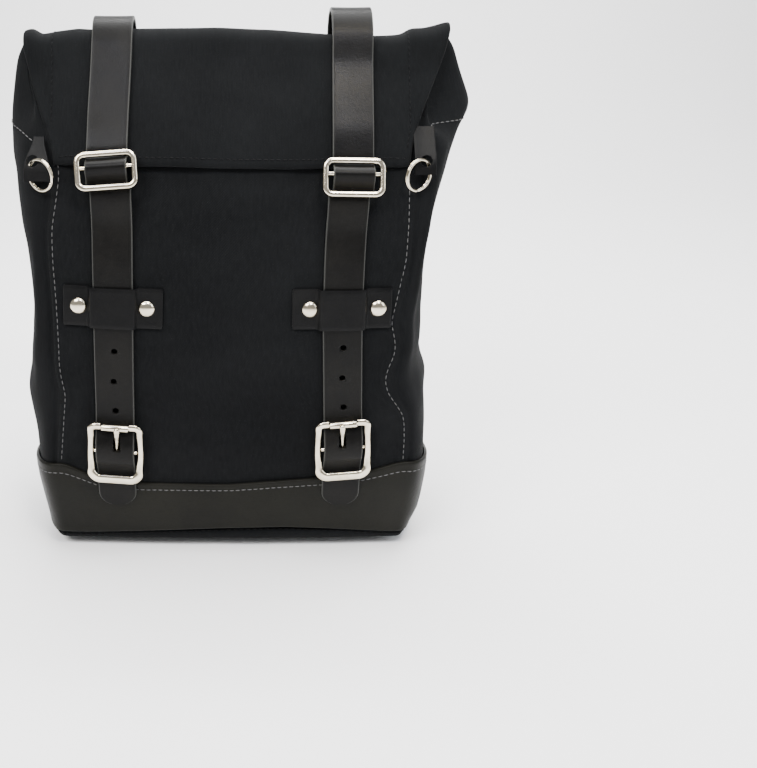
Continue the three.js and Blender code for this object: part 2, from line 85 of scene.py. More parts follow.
look(bpy.context.scene)
lamp("key", (-0.75, -0.9, 1.35), (0, 0, 0.15), (0.8, 0.6), 34, (1, 0.98, 0.94))
lamp("sheen_left", (-0.30, -0.80, 1.32), (-0.08, -0.05, 0.34), (0.30, 0.22), 2.4, (0.55, 0.62, 1))
lamp("sheen_right", (0.30, -0.82, 1.27), (0.08, -0.05, 0.33), (0.30, 0.20), 9.5, (0.80, 0.83, 1))
lamp("warm_sheen", (0.24, -0.66, 1.28), (0.09, -0.03, 0.375), (0.20, 0.14), 6.5, (1, 0.86, 0.55))
lamp("fill", (1.25, -0.6, 0.9), (0, 0, 0.2), (0.6, 0.9), 9, (0.90, 0.95, 1))
lamp("top", (0.1, 0.15, 1.6), (0, -0.1, 0.0), (1.4, 1.0), 52)
lamp("backdrop", (0.3, 0.75, 1.9), (0.4, 1.9, 0.5), (1.6, 0.5), 60)


# ---- materials --------------------------------------------------------------------------------

class Shade:
    """A material's node tree, with short calls for the nodes it takes."""

    def __init__(self, name, colour, roughness, metallic=0.0):
        self.material = bpy.data.materials.new(name)
        self.material.use_nodes = True
        self.tree = self.material.node_tree
        self.shader = self.tree.nodes["Principled BSDF"]
        self.set(**{"Base Color": (*colour, 1), "Roughness": roughness, "Metallic": metallic})

    def set(self, **sockets):
        for key, value in sockets.items():
            self.shader.inputs[key].default_value = value

    def node(self, kind, inputs=None, **facts):
        made = self.tree.nodes.new(kind)
        for key, value in facts.items():
            setattr(made, key, value)
        for key, value in (inputs or {}).items():
            self.wire(value, made.inputs[key])
        return made

    def wire(self, value, socket):
        if isinstance(value, bpy.types.NodeSocket):
            self.tree.links.new(value, socket)
        else:
            socket.default_value = value

    def math(self, op, a, b=0.0, c=0.0):
        return self.node("ShaderNodeMath", {0: a, 1: b, 2: c}, operation=op).outputs[0]

    def mix(self, share, a, b):
        made = self.node("ShaderNodeMix", data_type="RGBA")
        self.wire(share, made.inputs[0])
        self.wire(a, made.inputs[6])
        self.wire(b, made.inputs[7])
        return made.outputs[2]

    def span(self, value, low, high, to_low=0.0, to_high=1.0):
        return self.node("ShaderNodeMapRange", {
            "Value": value, "From Min": low, "From Max": high, "To Min": to_low, "To Max": to_high,
        }).outputs[0]

    def noise(self, coords, scale, detail=3.0, rough=0.5):
        return self.node("ShaderNodeTexNoise", {
            "Vector": coords, "Scale": scale, "Detail": detail, "Roughness": rough,
        }).outputs[0]

    def cells(self, coords, scale, feature="F1"):
        made = self.node("ShaderNodeTexVoronoi", {"Vector": coords, "Scale": scale}, feature=feature)
        return made.outputs["Distance"]

    def place(self):
        return self.node("ShaderNodeTexCoord").outputs["Object"]

    def flat(self):
        uv = self.node("ShaderNodeUVMap", uv_map="cloth").outputs[0]
        split = self.node("ShaderNodeSeparateXYZ", {0: uv})
        return uv, split.outputs[0], split.outputs[1]

    def bump(self, height, depth, strength=1.0, normal=None):
        made = self.node("ShaderNodeBump", {"Height": height, "Distance": depth, "Strength": strength})
        if normal is not None:
            self.wire(normal, made.inputs["Normal"])
        return made.outputs[0]

    def finish(self, colour=None, roughness=None, normal=None):
        for value, key in ((colour, "Base Color"), (roughness, "Roughness"), (normal, "Normal")):
            if value is not None:
                self.tree.links.new(value, self.shader.inputs[key])
        return self.material


WEAVE_HALF = 0.00052  # half a repeat of the canvas weave


def canvas(name, dark=(0.0024, 0.0027, 0.0030), light=(0.0078, 0.0084, 0.0090)):
    s = Shade(name, light, 0.9)
    s.set(**{"Sheen Weight": 0.02, "Sheen Roughness": 0.5, "Specular IOR Level": 0.04})
    uv, across, along = s.flat()
    turn = math.pi / WEAVE_HALF
    wobble = s.span(s.noise(uv, 210, 2), 0, 1, -0.6, 0.6)
    warp = s.math("SINE", s.math("MULTIPLY_ADD", across, turn, wobble))
    weft = s.math("SINE", s.math("MULTIPLY_ADD", along, turn, wobble))
    weave = s.math("MULTIPLY_ADD", s.math("MULTIPLY", warp, weft), 0.5, 0.5)
    slubs = s.noise(s.node("ShaderNodeMapping", {0: uv, 3: (1, 0.12, 1)}).outputs[0], 900, 2)
    fade = s.noise(uv, 14, 4)
    lint = s.span(s.noise(uv, 1500, 1), 0.66, 0.78)
    share = s.math("ADD", s.math("MULTIPLY", weave, 0.30), s.math("MULTIPLY", slubs, 0.45))
    share = s.math("ADD", share, s.span(fade, 0.3, 0.7, -0.18, 0.22))
    colour = s.mix(s.span(share, 0.1, 0.85), (*dark, 1), (*light, 1))
    colour = s.mix(s.math("MULTIPLY", lint, 0.22), colour, (0.04, 0.04, 0.044, 1))
    height = s.math("ADD", s.math("MULTIPLY", weave, 0.6), s.math("MULTIPLY", slubs, 0.5))
    creases = s.bump(s.noise(uv, 60, 4, 0.6), 0.0006, 0.45)
    return s.finish(colour, s.span(fade, 0.3, 0.7, 0.82, 0.95), s.bump(height, 0.00022, 0.7, creases))


def leather(name, colour=(0.0026, 0.0026, 0.0026), worn=(0.0066, 0.0063, 0.0056), rough=0.36, edge_at=None):
    """edge_at is the strap's half width, where its cut edge is lighter: partly the raw edge's own tone,
    partly a painted highlight.
    """
    s = Shade(name, colour, rough)
    s.set(**{"Specular IOR Level": 0.085})
    place = s.place()
    grain = s.cells(place, 1500)
    pores = s.cells(place, 620, "SMOOTH_F1")
    cloud = s.noise(place, 22, 5, 0.6)
    fine = s.noise(place, 420, 3)
    base = s.mix(s.span(cloud, 0.32, 0.72), (*colour, 1), (*worn, 1))
    base = s.mix(s.math("MULTIPLY", s.span(fine, 0.55, 0.75), 0.35), base, (*(c * 0.5 for c in colour), 1))
    if edge_at is not None:
        _, across, _ = s.flat()
        # The cut edge and its rounded corners are coloured lighter: partly the raw edge's own tone, partly
        # a painted highlight.
        edge_tone_and_highlight = s.span(s.math("ABSOLUTE", across), edge_at - 0.0011, edge_at - 0.0005)
        # A darker line along the edge crease: partly the creased leather's own tone, partly painted shade
        # in its groove.
        off_crease = s.math("ABSOLUTE", s.math("SUBTRACT", s.math("ABSOLUTE", across), edge_at - 0.0026))
        crease_tone_and_shade = s.span(off_crease, 0.00035, 0.0)
        base = s.mix(s.math("MULTIPLY", edge_tone_and_highlight, 0.8), base, (0.045, 0.046, 0.043, 1))
        base = s.mix(s.math("MULTIPLY", crease_tone_and_shade, 0.5), base, (0.002, 0.002, 0.002, 1))
    height = s.math("ADD", s.math("MULTIPLY", grain, 0.5), s.math("MULTIPLY", pores, 0.6))
    height = s.math("ADD", height, s.math("MULTIPLY", fine, 0.25))
    normal = s.bump(height, 0.00016, 0.55, s.bump(cloud, 0.0009, 0.35))
    return s.finish(base, s.span(cloud, 0.3, 0.7, rough - 0.06, rough + 0.10), normal)


def nickel(name="polished_nickel"):
    s = Shade(name, (0.72, 0.655, 0.52), 0.17, 1.0)
    place = s.place()
    haze = s.noise(place, 95, 4, 0.6)
    lines = s.noise(s.node("ShaderNodeMapping", {0: place, 3: (1, 1, 9)}).outputs[0], 900, 2)
    pits = s.span(s.noise(place, 2600, 2), 0.66, 0.76)
    colour = s.mix(s.span(haze, 0.35, 0.7), (0.76, 0.69, 0.55, 1), (0.60, 0.53, 0.40, 1))
    colour = s.mix(s.math("MULTIPLY", pits, 0.4), colour, (0.18, 0.15, 0.11, 1))
    rough = s.math("ADD", s.span(haze, 0.3, 0.75, 0.09, 0.20), s.math("MULTIPLY", lines, 0.05))
    normal = s.bump(lines, 0.00006, 0.25, s.bump(haze, 0.0004, 0.25))
    return s.finish(colour, rough, normal)


def thread(name, colour):
    s = Shade(name, colour, 0.62)
    s.set(**{"Specular IOR Level": 0.1})
    place = s.place()
    ply = s.noise(s.node("ShaderNodeMapping", {0: place, 3: (1, 1, 2.2)}).outputs[0], 1800, 2)
    tone = s.mix(s.span(ply, 0.3, 0.7), (*(c * 0.55 for c in colour), 1), (*colour, 1))
    return s.finish(tone, None, s.bump(ply, 0.0002, 0.6))


def board():
    s = Shade("stiff_board", (0.012, 0.012, 0.014), 0.6)
    place = s.place()
    pebble = s.cells(place, 900, "SMOOTH_F1")
    cloud = s.noise(place, 30, 4)
    colour = s.mix(cloud, (0.008, 0.008, 0.009, 1), (0.02, 0.02, 0.023, 1))
    return s.finish(colour, s.span(cloud, 0.3, 0.7, 0.5, 0.7), s.bump(pebble, 0.0002, 0.5))


def paper():
    s = Shade("pale_floor", (0.92, 0.92, 0.92), 0.85)
    s.set(**{"Specular IOR Level": 0.1})
    cloud = s.noise(s.place(), 3, 3)
    return s.finish(s.mix(cloud, (0.91, 0.91, 0.915, 1), (0.94, 0.94, 0.945, 1)))


STRAP_WIDTH = 29.4
CANVAS = canvas("black_canvas")
LINING = canvas("lining", (0.003, 0.003, 0.0035), (0.008, 0.008, 0.009))
STRAP_LEATHER = leather("strap_leather", rough=0.36, edge_at=STRAP_WIDTH / 2 * MM)
BAND_LEATHER = leather("band_leather", (0.0040, 0.0040, 0.0029), (0.0080, 0.0079, 0.0060), 0.45)
PATCH_DARK, PATCH_WORN = (0.0022, 0.0023, 0.0025), (0.0054, 0.0054, 0.0055)
PATCH_LEATHER = leather("patch_leather", PATCH_DARK, PATCH_WORN, 0.45)
NICKEL = nickel()
LIGHT_THREAD = thread("light_thread", (0.105, 0.105, 0.105))
BLACK_THREAD = thread("black_thread", (0.0035, 0.0035, 0.004))
BOARD = board()


# ---- mesh helpers -----------------------------------------------------------------------------

def piece(name, points, faces, material, uv=None):
    """Makes a smooth object of points in millimetres. uv gives each point's place on the cloth."""
    mesh = bpy.data.meshes.new(name)
    mesh.from_pydata([tuple(float(c) * MM for c in p) for p in points], [], faces)
    if uv is not None:
        layer = mesh.uv_layers.new(name="cloth")
        loops = np.empty(len(mesh.loops), dtype=np.int32)
        mesh.loops.foreach_get("vertex_index", loops)
        layer.data.foreach_set("uv", (np.asarray(uv, float)[loops] * MM).astype(np.float32).ravel())
    mesh.materials.append(material)
    mesh.polygons.foreach_set("use_smooth", [True] * len(mesh.polygons))
    mesh.validate()
    mesh.update()
    made = bpy.data.objects.new(name, mesh)
    bpy.context.scene.collection.objects.link(made)
    return made


def quads(rows, columns, start=0, closed_rows=False, closed_columns=False, flip=False):
    """Faces of a grid whose point (r, c) is number start + r * columns + c."""
    faces = []
    for r in range(rows if closed_rows else rows - 1):
        for c in range(columns if closed_columns else columns - 1):
            a = start + r * columns + c
            b = start + r * columns + (c + 1) % columns
            d = start + ((r + 1) % rows) * columns + c
            e = start + ((r + 1) % rows) * columns + (c + 1) % columns
            faces.append((a, d, e, b) if flip else (a, b, e, d))
    return faces


def outward(made):
    """Turns every face outward."""
    work = bmesh.new()
    work.from_mesh(made.data)
    bmesh.ops.recalc_face_normals(work, faces=work.faces)
    work.to_mesh(made.data)
    work.free()
    made.data.update()
    return made


def crease_split(made, degrees):
    """Keeps hard edges hard under smooth shading."""
    made.data.set_sharp_from_angle(angle=math.radians(degrees))
    return made


def loft(name, rings, material, uv=None, sharp=50, closed=False):
    """A skin over rings of points. It closes on itself, or is capped at both ends. Edges over sharp
    degrees stay hard, and 0 leaves them all soft."""
    n = len(rings[0])
    faces = quads(len(rings), n, closed_rows=closed, closed_columns=True)
    if not closed:
        faces += [tuple(range(n)), tuple((len(rings) - 1) * n + k for k in range(n))]
    made = outward(piece(name, [p for ring in rings for p in ring], faces, material, uv))
    return crease_split(made, sharp) if sharp else made


def circle(steps):
    return [2 * math.pi * k / steps for k in range(steps)]


def directions(path, closed=False):
    """The unit direction at each point of a path."""
    step = np.roll(path, -1, axis=0) - np.roll(path, 1, axis=0) if closed else np.gradient(path, axis=0)
    return step / np.linalg.norm(step, axis=1)[:, None]


def spline(points, count):
    """A smooth line through points, as count even steps, with numpy rows."""
    p = np.asarray(points, float)
    ext = np.vstack([2 * p[0] - p[1], p, 2 * p[-1] - p[-2]])
    fine = []
    for i in range(1, len(ext) - 2):
        a, b, c, d = ext[i - 1:i + 3]
        ta = np.linalg.norm(b - a) ** 0.5
        tb = ta + np.linalg.norm(c - b) ** 0.5
        tc = tb + np.linalg.norm(d - c) ** 0.5
        for t in np.linspace(ta, tb, 24, endpoint=False):
            a1 = (ta - t) / ta * a + t / ta * b
            a2 = (tb - t) / (tb - ta) * b + (t - ta) / (tb - ta) * c
            a3 = (tc - t) / (tc - tb) * c + (t - tb) / (tc - tb) * d
            b1 = (tb - t) / tb * a1 + t / tb * a2
            b2 = (tc - t) / (tc - ta) * a2 + (t - ta) / (tc - ta) * a3
            fine.append((tb - t) / (tb - ta) * b1 + (t - ta) / (tb - ta) * b2)
    fine.append(p[-1])
    fine = np.array(fine)
    length = np.concatenate([[0], np.cumsum(np.linalg.norm(np.diff(fine, axis=0), axis=1))])
    want = np.linspace(0, length[-1], count)
    return np.column_stack([np.interp(want, length, fine[:, k]) for k in range(fine.shape[1])]), want


def slab_section(width, thick, r, steps=4, inner=10):
    """A rounded rectangle across a strap: [across, out] points, anticlockwise."""
    points = []
    half, up = width / 2, thick / 2
    corners = ((half - r, -up + r, -90), (half - r, up - r, 0),
               (-half + r, up - r, 90), (-half + r, -up + r, 180))
    for k, (x, y, start) in enumerate(corners):
        for i in range(steps + 1):
            a = math.radians(start + 90 * i / steps)
            points.append((x + r * math.cos(a), y + r * math.sin(a)))
        if k in (1, 3):
            sign = 1 if k == 3 else -1
            for i in range(1, inner):
                points.append((sign * (-half + r + (width - 2 * r) * i / inner), sign * -up))
    return points


def ribbon(name, line, width, thick, material, at_x=0.0, steps=120, r=0.9,
           lean=None, taper=None, arch=None, shift=None):
    """A strap along a side-view line of [y, z] points. lean(z) shears its cross lines, shift(z) moves
    it aside, taper(s, run) narrows it at a share s of its length, and arch(across, s) bows it outward."""
    path, along = spline(line, steps)
    rings, uv = [], []
    for i, ((y, z), (ty, tz)) in enumerate(zip(path, directions(path))):
        s, ring = i / (steps - 1), []
        narrow = taper(s, along[i]) if taper else 1.0
        for across, out in slab_section(width, thick, r):
            a = across * narrow
            o = out + (arch(a, s) if arch else 0.0)
            x = at_x + a + (shift(z) if shift else 0.0)
            ring.append((x, y - tz * o, z + ty * o + a * (lean(z) if lean else 0.0)))
            uv.append((across, along[i]))
        rings.append(ring)
    return loft(name, rings, material, uv)


def wire(name, path, widths, depth, place, square, out=lambda z: 0.0, closed=False):
    """A squarish wire along a path of [x, z] in its fitting's frame, where place(x, out, z) puts it
    on the bag. out(z) is how far it stands in front of the fitting's plane."""
    path = np.asarray(path, float)
    rings = []
    for (x, z), (tx, tz), width in zip(path, directions(path, closed), widths):
        ring = []
        for a in circle(16):
            c, d = (math.copysign(abs(v) ** square, v) for v in (math.cos(a), math.sin(a)))
            w = width / 2 * c
            ring.append(place(x + tz * w, out(z) + depth / 2 * d, z - tx * w))
        rings.append(ring)
    return loft(name, rings, NICKEL, sharp=0 if closed else 50, closed=closed)


def rounded_path(width, height, low, high, steps=9, side_steps=10):
    """The middle line of a wire frame, [x, z], anticlockwise from the lower right."""
    points = []
    corners = ((1, -1, low, -90), (1, 1, high, 0), (-1, 1, high, 90), (-1, -1, low, 180))
    for k, (sx, sz, r, start) in enumerate(corners):
        cx, cz = sx * (width / 2 - r), sz * (height / 2 - r)
        for i in range(steps + 1):
            a = math.radians(start + 90 * i / steps)
            points.append((cx + r * math.cos(a), cz + r * math.sin(a)))
        nx, nz, nr, _ = corners[(k + 1) % 4]
        a = math.radians(start + 90)
        b = (nx * (width / 2 - nr) + nr * math.cos(a), nz * (height / 2 - nr) + nr * math.sin(a))
        last = points[-1]
        for i in range(1, side_steps):
            s = i / side_steps
            points.append((last[0] * (1 - s) + b[0] * s, last[1] * (1 - s) + b[1] * s))
    return points


def turning(name, profile, place, material, steps=36):
    """A turned piece: profile of [radius, out], place(across, out, up) puts it on the bag."""
    rings = [[place(r * math.cos(a), out, r * math.sin(a)) for a in circle(steps)] for r, out in profile]
    return loft(name, rings, material, sharp=60)


def rod(name, a, b, r, material, steps=20, bevel=0.35, bore=0.0):
    """A round bar from a to b, in millimetres, with softened ends; with a bore it is a sleeve."""
    a, b = Vector(a), Vector(b)
    axis = (b - a).normalized()
    u = axis.orthogonal().normalized()
    v = axis.cross(u)
    length = (b - a).length
    outer = [(r - bevel, 0), (r - bevel * 0.3, bevel * 0.3), (r, bevel), (r, length - bevel),
             (r - bevel * 0.3, length - bevel * 0.3), (r - bevel, length)]
    profile = outer + ([(bore, length), (bore, 0)] if bore else [])
    rings = [[a + axis * along + (u * math.cos(t) + v * math.sin(t)) * radius for t in circle(steps)]
             for radius, along in profile]
    return loft(name, rings, material, closed=bool(bore))


def join(name, parts):
    """Joins parts into the first, under a new name."""
    first = parts[0]
    chosen = {"active_object": first, "selected_editable_objects": parts, "selected_objects": parts}
    with bpy.context.temp_override(**chosen):
        bpy.ops.object.join()
    first.name = name
    first.data.name = name
    return first


def hole(x, y, z, r):
    """A cutter through leather, from front to back."""
    return rod("hole", (x, y - 14, z), (x, y + 14, z), r, PATCH_LEATHER, 24, 0.2)


def punch(made, tool):
    """Cuts the tool's shape out of the piece. The tool's parts may cross each other."""
    cut = made.modifiers.new("holes", "BOOLEAN")
    cut.operation = "DIFFERENCE"
    cut.solver = "EXACT"
    cut.use_self = True
    cut.object = tool
    done = bpy.data.meshes.new_from_object(made.evaluated_get(bpy.context.evaluated_depsgraph_get()))
    made.modifiers.clear()
    made.data = done
    bpy.data.objects.remove(tool)
    if not done.polygons:
        raise RuntimeError(f"{made.name}: the cut left nothing")
    return made


def trace(places, at):
    """The points and normals of a line on the cloth, at(place) giving one of each."""
    return zip(*(at(place) for place in places))


def stitches(name, line, normals, material, pitch, length, r):
    """Thread laid in separate stitches along a line of millimetre points. Each stitch is a small
    plump thread whose ends dip into the cloth."""
    line = np.asarray(line, float)
    run = np.concatenate([[0], np.cumsum(np.linalg.norm(np.diff(line, axis=0), axis=1))])
    count = max(1, int(run[-1] / pitch))
    points, faces = [], []
    ring, rows, wander = 6, 5, 0.12
    for n in range(count):
        start = (n + 0.5) * run[-1] / count - length / 2
        jitter = noise.noise((n * 3.7, 1.3, 8.1)) * wander
        at = [np.array([np.interp(start + length * k / (rows - 1), run, line[:, c]) for c in range(3)])
              for k in range(rows)]
        mid = int(np.searchsorted(run, start + length / 2).clip(0, len(line) - 1))
        out = np.asarray(normals[mid], float)
        out /= np.linalg.norm(out)
        t = at[-1] - at[0]
        t /= np.linalg.norm(t) + 1e-9
        side = np.cross(t, out)
        side /= np.linalg.norm(side) + 1e-9
        base = len(points)
        for k, p in enumerate(at):
            s = k / (rows - 1)
            fat = r * (0.45 + 0.55 * math.sin(math.pi * s))
            lift = -0.45 * r * (2 * s - 1) ** 2
            for a in circle(ring):
                points.append(p + side * (fat * math.cos(a) + jitter) + out * (fat * math.sin(a) + lift))
        faces += quads(rows, ring, base, closed_columns=True)
        faces.append(tuple(base + j for j in range(ring))[::-1])
        faces.append(tuple(base + (rows - 1) * ring + j for j in range(ring)))
    return outward(piece(name, points, faces, material))


def on_bag(made, body="bag", slot=None, *nodes):
    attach(made, body)
    if nodes:
        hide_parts(*nodes)


def sew(name, traced, material, pitch, length, r, body="bag"):
    on_bag(stitches(name, *traced, material, pitch, length, r), body)


# ---- the body's outline -----------------------------------------------------------------------

def look_up(rows, at):
    """The value at a place of a table of (place, value) rows."""
    return np.interp(at, *zip(*rows))


def smooth_table(rows, blur):
    """The same as a function, with the table's corners rounded over about blur millimetres."""
    heights = np.arange(-260.0, 480.0, 1.0)
    values = look_up(rows, heights)
    kernel = np.exp(-0.5 * (np.arange(-40, 41) / blur) ** 2)
    values = np.convolve(np.pad(values, 40, mode="edge"), kernel / kernel.sum(), mode="valid")
    return lambda z: float(np.interp(z, heights, values))


def lerp(a, b, t):
    return a + (b - a) * t


def bell(value, middle, width):
    return math.exp(-((value - middle) / width) ** 2)


def ramp(value, low, high):
    t = min(1.0, max(0.0, (value - low) / (high - low)))
    return t * t * (3 - 2 * t)


BOTTOM, LIP = 12.0, 387.0
TABLE_FRONT = [(12, -68), (60, -74), (170, -74), (240, -70), (285, -62), (315, -50), (340, -37),
               (365, -23), (387, -11)]
FRONT = smooth_table(TABLE_FRONT, 6)
BACK = smooth_table([(12, 66), (60, 68), (170, 68), (240, 68), (285, 62), (315, 52), (340, 40), (365, 24),
                     (387, 11)], 6)
SEAM_LEFT = smooth_table([(12, 133), (60, 135), (73, 134.8), (100, 131.5), (121, 129.2), (134, 127.2),
                          (154, 130.6), (180, 130), (211, 130), (242, 130.8), (264, 130.6), (286, 126.4),
                          (302, 124.5), (315, 127), (340, 134), (365, 143), (387, 146)], 5)
SEAM_RIGHT = smooth_table([(12, 136), (60, 138.5), (96, 138.2), (112, 137), (119, 135.2), (128, 129),
                           (136, 123), (148, 119.6), (158, 122.5), (170, 126.6), (180, 125.8),
                           (193, 122.4), (210, 125.6), (242, 130.8), (266, 131.5), (286, 131.5),
                           (315, 131.5), (340, 137), (365, 145), (387, 148)], 3.5)
HALF_LEFT = smooth_table([(12, 151), (36, 154.5), (63, 158.5), (89, 160), (110, 163), (126, 165),
                          (137, 164), (150, 160), (176, 156), (199, 153.2), (222, 154), (245, 155.2),
                          (266, 158), (286, 162), (310, 164.2), (337, 164.2), (352, 162), (367, 159.5),
                          (380, 156), (387, 150)], 4)
HALF_RIGHT = smooth_table([(12, 151), (24, 159), (45, 161), (60, 162), (76, 162.5), (90, 161.5),
                           (112, 159.5), (124, 160), (137, 161.5), (150, 157), (162, 154.2), (186, 154),
                           (206, 153), (235, 151.2), (252, 151.5), (266, 155), (286, 161), (307, 167),
                           (327, 173), (341, 180), (349, 180.5), (357, 176), (367, 170.5), (377, 166),
                           (387, 157)], 3)
CROWN = 3.0


def outline(q, z):
    """One way round the bag at height z: 0 to 1 the front from left to right, 1 to 2 the right
    side, 2 to 3 the back, 3 to 4 the left side."""
    q %= 4
    front, back = FRONT(z), BACK(z)
    left, right = SEAM_LEFT(z), SEAM_RIGHT(z)
    if q < 1:
        x = lerp(-left, right, q)
        return x, front + CROWN * (x / (left if x < 0 else right)) ** 2
    if 2 <= q < 3:
        x = lerp(right, -left, q - 2)
        return x, back
    sign, t = (1, q - 1) if q < 2 else (-1, 4 - q)
    seam = right if sign > 0 else left
    half = (HALF_RIGHT if sign > 0 else HALF_LEFT)(z)
    near = front + CROWN
    a = math.pi * t
    away = math.sin(a) ** 0.85 if 0 < t < 1 else 0.0
    along = math.copysign(abs(math.cos(a)) ** 0.85, math.cos(a))
    tuck = ramp(z, 318, 352)
    if sign > 0:
        away = away * (1 - tuck * 1.25 * bell(t, 0.20, 0.11))
        away = lerp(away, math.copysign(abs(away) ** 1.35, away), tuck)
    else:
        away = away * (1 - tuck * 0.7 * bell(t, 0.16, 0.11))
    return sign * (seam + (half - seam) * away), (near + back) / 2 - (back - near) / 2 * along


# x, z, lean, half length, half width and height of each soft fold on the front
FRONT_FOLDS = [
    (28, 252, 1.15, 62, 9, 1.3), (-22, 214, 1.85, 55, 10, 1.1), (34, 168, 1.35, 60, 12, 1.2),
    (-30, 118, 1.75, 52, 11, -1.2), (6, 92, 1.5, 60, 9, 1.2), (44, 285, 1.7, 50, 8, 1.0),
    (118, 232, 0.25, 48, 6, 1.4), (-114, 206, -0.2, 44, 6, 1.2), (116, 96, 0.5, 24, 6, 1.2),
    (-116, 282, 0.3, 26, 5, 1.0), (-52, 270, 1.3, 22, 7, 0.9), (48, 120, 1.2, 20, 8, -1.0),
]


def folds(q, z):
    """How far the cloth stands off its even shape, in millimetres."""
    q %= 4
    x, y = outline(q, z)
    soft = noise.fractal((x * 0.012, y * 0.012 + 7, z * 0.010), 0.9, 2.0, 3) * 1.9
    soft += noise.noise((x * 0.05 + 4, y * 0.05, z * 0.022)) * 0.5
    if q < 1:
        left, right = SEAM_LEFT(z), SEAM_RIGHT(z)
        edge = min(x + left, right - x)
        rise = soft * ramp(edge, 0, 30)
        rise += -2.6 * bell(x - 18, 0, 46) * bell(z, 128, 46)
        rise += 1.6 * bell(x, -4, 52) * bell(z, 236, 52)
        slant = (x - 112) + (z - 150) * 0.42
        rise += 1.9 * bell(slant, 0, 7) * ramp(z, 100, 135) * (1 - ramp(z, 180, 205)) * ramp(x, 105, 118)
        slant = (x + 118) - (z - 110) * 0.30
        rise += 1.6 * bell(slant, 0, 6) * ramp(z, 78, 98) * (1 - ramp(z, 118, 150))
        for cx, cz, tilt, long, wide, high in FRONT_FOLDS:
            across = (x - cx) * math.cos(tilt) - (z - cz) * math.sin(tilt)
            along = (x - cx) * math.sin(tilt) + (z - cz) * math.cos(tilt)
            rise += high * bell(across, 0, wide) * bell(along, 0, long)
        rise += 0.8 * (1 - ramp(edge, 5, 9))
        under = max(bell(abs(x) - 86.5, 0, 19) ** 0.3 if abs(abs(x) - 86.5) < 24 else 0,
                    1.0 if abs(abs(x) - 86.5) < 40 and 186 < z < 228 else 0)
        calm = lerp(1.0, 0.12, min(1.0, under))
        rise = rise * calm if rise > 0 else rise * lerp(1, 0.6, under)
        return rise - 0.25
    if 2 <= q < 3:
        edge = min(x + SEAM_LEFT(z), SEAM_RIGHT(z) - x)
        rise = soft * 0.7 * ramp(edge, 0, 25) * ramp(z, 262, 300)
        rise -= abs(soft) * 0.5 * ramp(edge, 0, 25) * (1 - ramp(z, 225, 262))
        return min(rise, 0.15) + 0.5 * (1 - ramp(edge, 4, 8))
    t = q - 1 if q < 2 else 4 - q
    seamside = min(t, 1 - t)
    rise = soft * 1.3 * ramp(seamside, 0.03, 0.2)
    rise -= 1.6 * bell(seamside, 0.028, 0.02)
    hollow = 3.4 * bell(t, 0.52, 0.2) * bell(z, 205, 60)
    rise -= hollow * (0.6 if q < 2 else 0.4)
    pleat = math.sin((z - (250 if q < 2 else 262)) / 15.0 + t * 5.0)
    rise += pleat * 1.1 * bell(z, 262, 34) * ramp(seamside, 0.05, 0.25)
    if q < 2:
        rise += 2.2 * bell(t, 0.13 + 0.0006 * (z - 200), 0.035) * bell(z, 238, 62)
        rise -= 1.5 * bell(t, 0.22 + 0.0006 * (z - 200), 0.045) * bell(z, 235, 60)
        rise -= 2.0 * bell(t, 0.10, 0.09) * bell(z, 293, 11)
    else:
        rise += 1.6 * bell(t, 0.16 - 0.0005 * (z - 190), 0.04) * bell(z, 200, 60)
    return rise


def skin(q, z, out=0.0, rough=True):
    """A point on the cloth, and its outward normal, in millimetres."""
    x, y = outline(q, z)
    dq = 0.006
    ax, ay = outline(q - dq, z)
    bx, by = outline(q + dq, z)
    along = Vector((bx - ax, by - ay, 0))
    ux, uy = outline(q, z + 1.5)
    lx, ly = outline(q, z - 1.5)
    up = Vector((ux - lx, uy - ly, 3.0))
    normal = along.cross(up).normalized()
    lift = out + (folds(q, z) if rough else 0.0)
    return Vector((x, y, z)) + normal * lift, normal


# ---- the canvas body --------------------------------------------------------------------------

def turns(front=84, side=46, back=50):
    """Places round the outline, closer together at the seams."""
    def eased(n):
        t = (np.arange(n)) / n
        return t - 0.07 * np.sin(4 * np.pi * t) / 2
    return np.concatenate([eased(front), 1 + eased(side), 2 + eased(back), 3 + eased(side)])


CLOTH = 2.4


def apex(q, z):
    """How much higher the mouth's corners stand than its lips."""
    q %= 4
    if 1 <= q < 2:
        return 11.0 * bell(q - 1, 0.5, 0.28) * ramp(z, 345, LIP)
    if q >= 3:
        return 1.5 * bell(4 - q, 0.5, 0.3) * ramp(z, 345, LIP)
    return 0.0


def canvas_body():
    around = turns()
    heights = np.concatenate([np.linspace(BOTTOM + 0.3, 300, 84), np.linspace(303, LIP, 40)])
    outer, inner, uv = [], [], []
    for z in heights:
        for q in around:
            p, n = skin(q, z)
            p = p + Vector((0, 0, apex(q, z)))
            outer.append(p)
            inner.append(p - n * CLOTH)
            uv.append((q * 140.0, z))
    rows, columns = len(heights), len(around)
    count = rows * columns
    faces = quads(rows, columns, closed_columns=True)
    faces += quads(rows, columns, count, closed_columns=True, flip=True)
    for c in range(columns):
        d = (c + 1) % columns
        faces.append((d, c, count + c, count + d))
        top = (rows - 1) * columns
        faces.append((top + c, top + d, count + top + d, count + top + c))
    made = piece("canvas_body", outer + inner, faces, CANVAS, uv + uv)
    made.data.materials.append(LINING)
    first_inner = (rows - 1) * columns
    for index, polygon in enumerate(made.data.polygons):
        if first_inner <= index < 2 * first_inner:
            polygon.material_index = 1
    return outward(made)


body = canvas_body()
on_bag(body, "bag", "canvas", "front_panel", "back_panel", "side_panel_left", "side_panel_right")


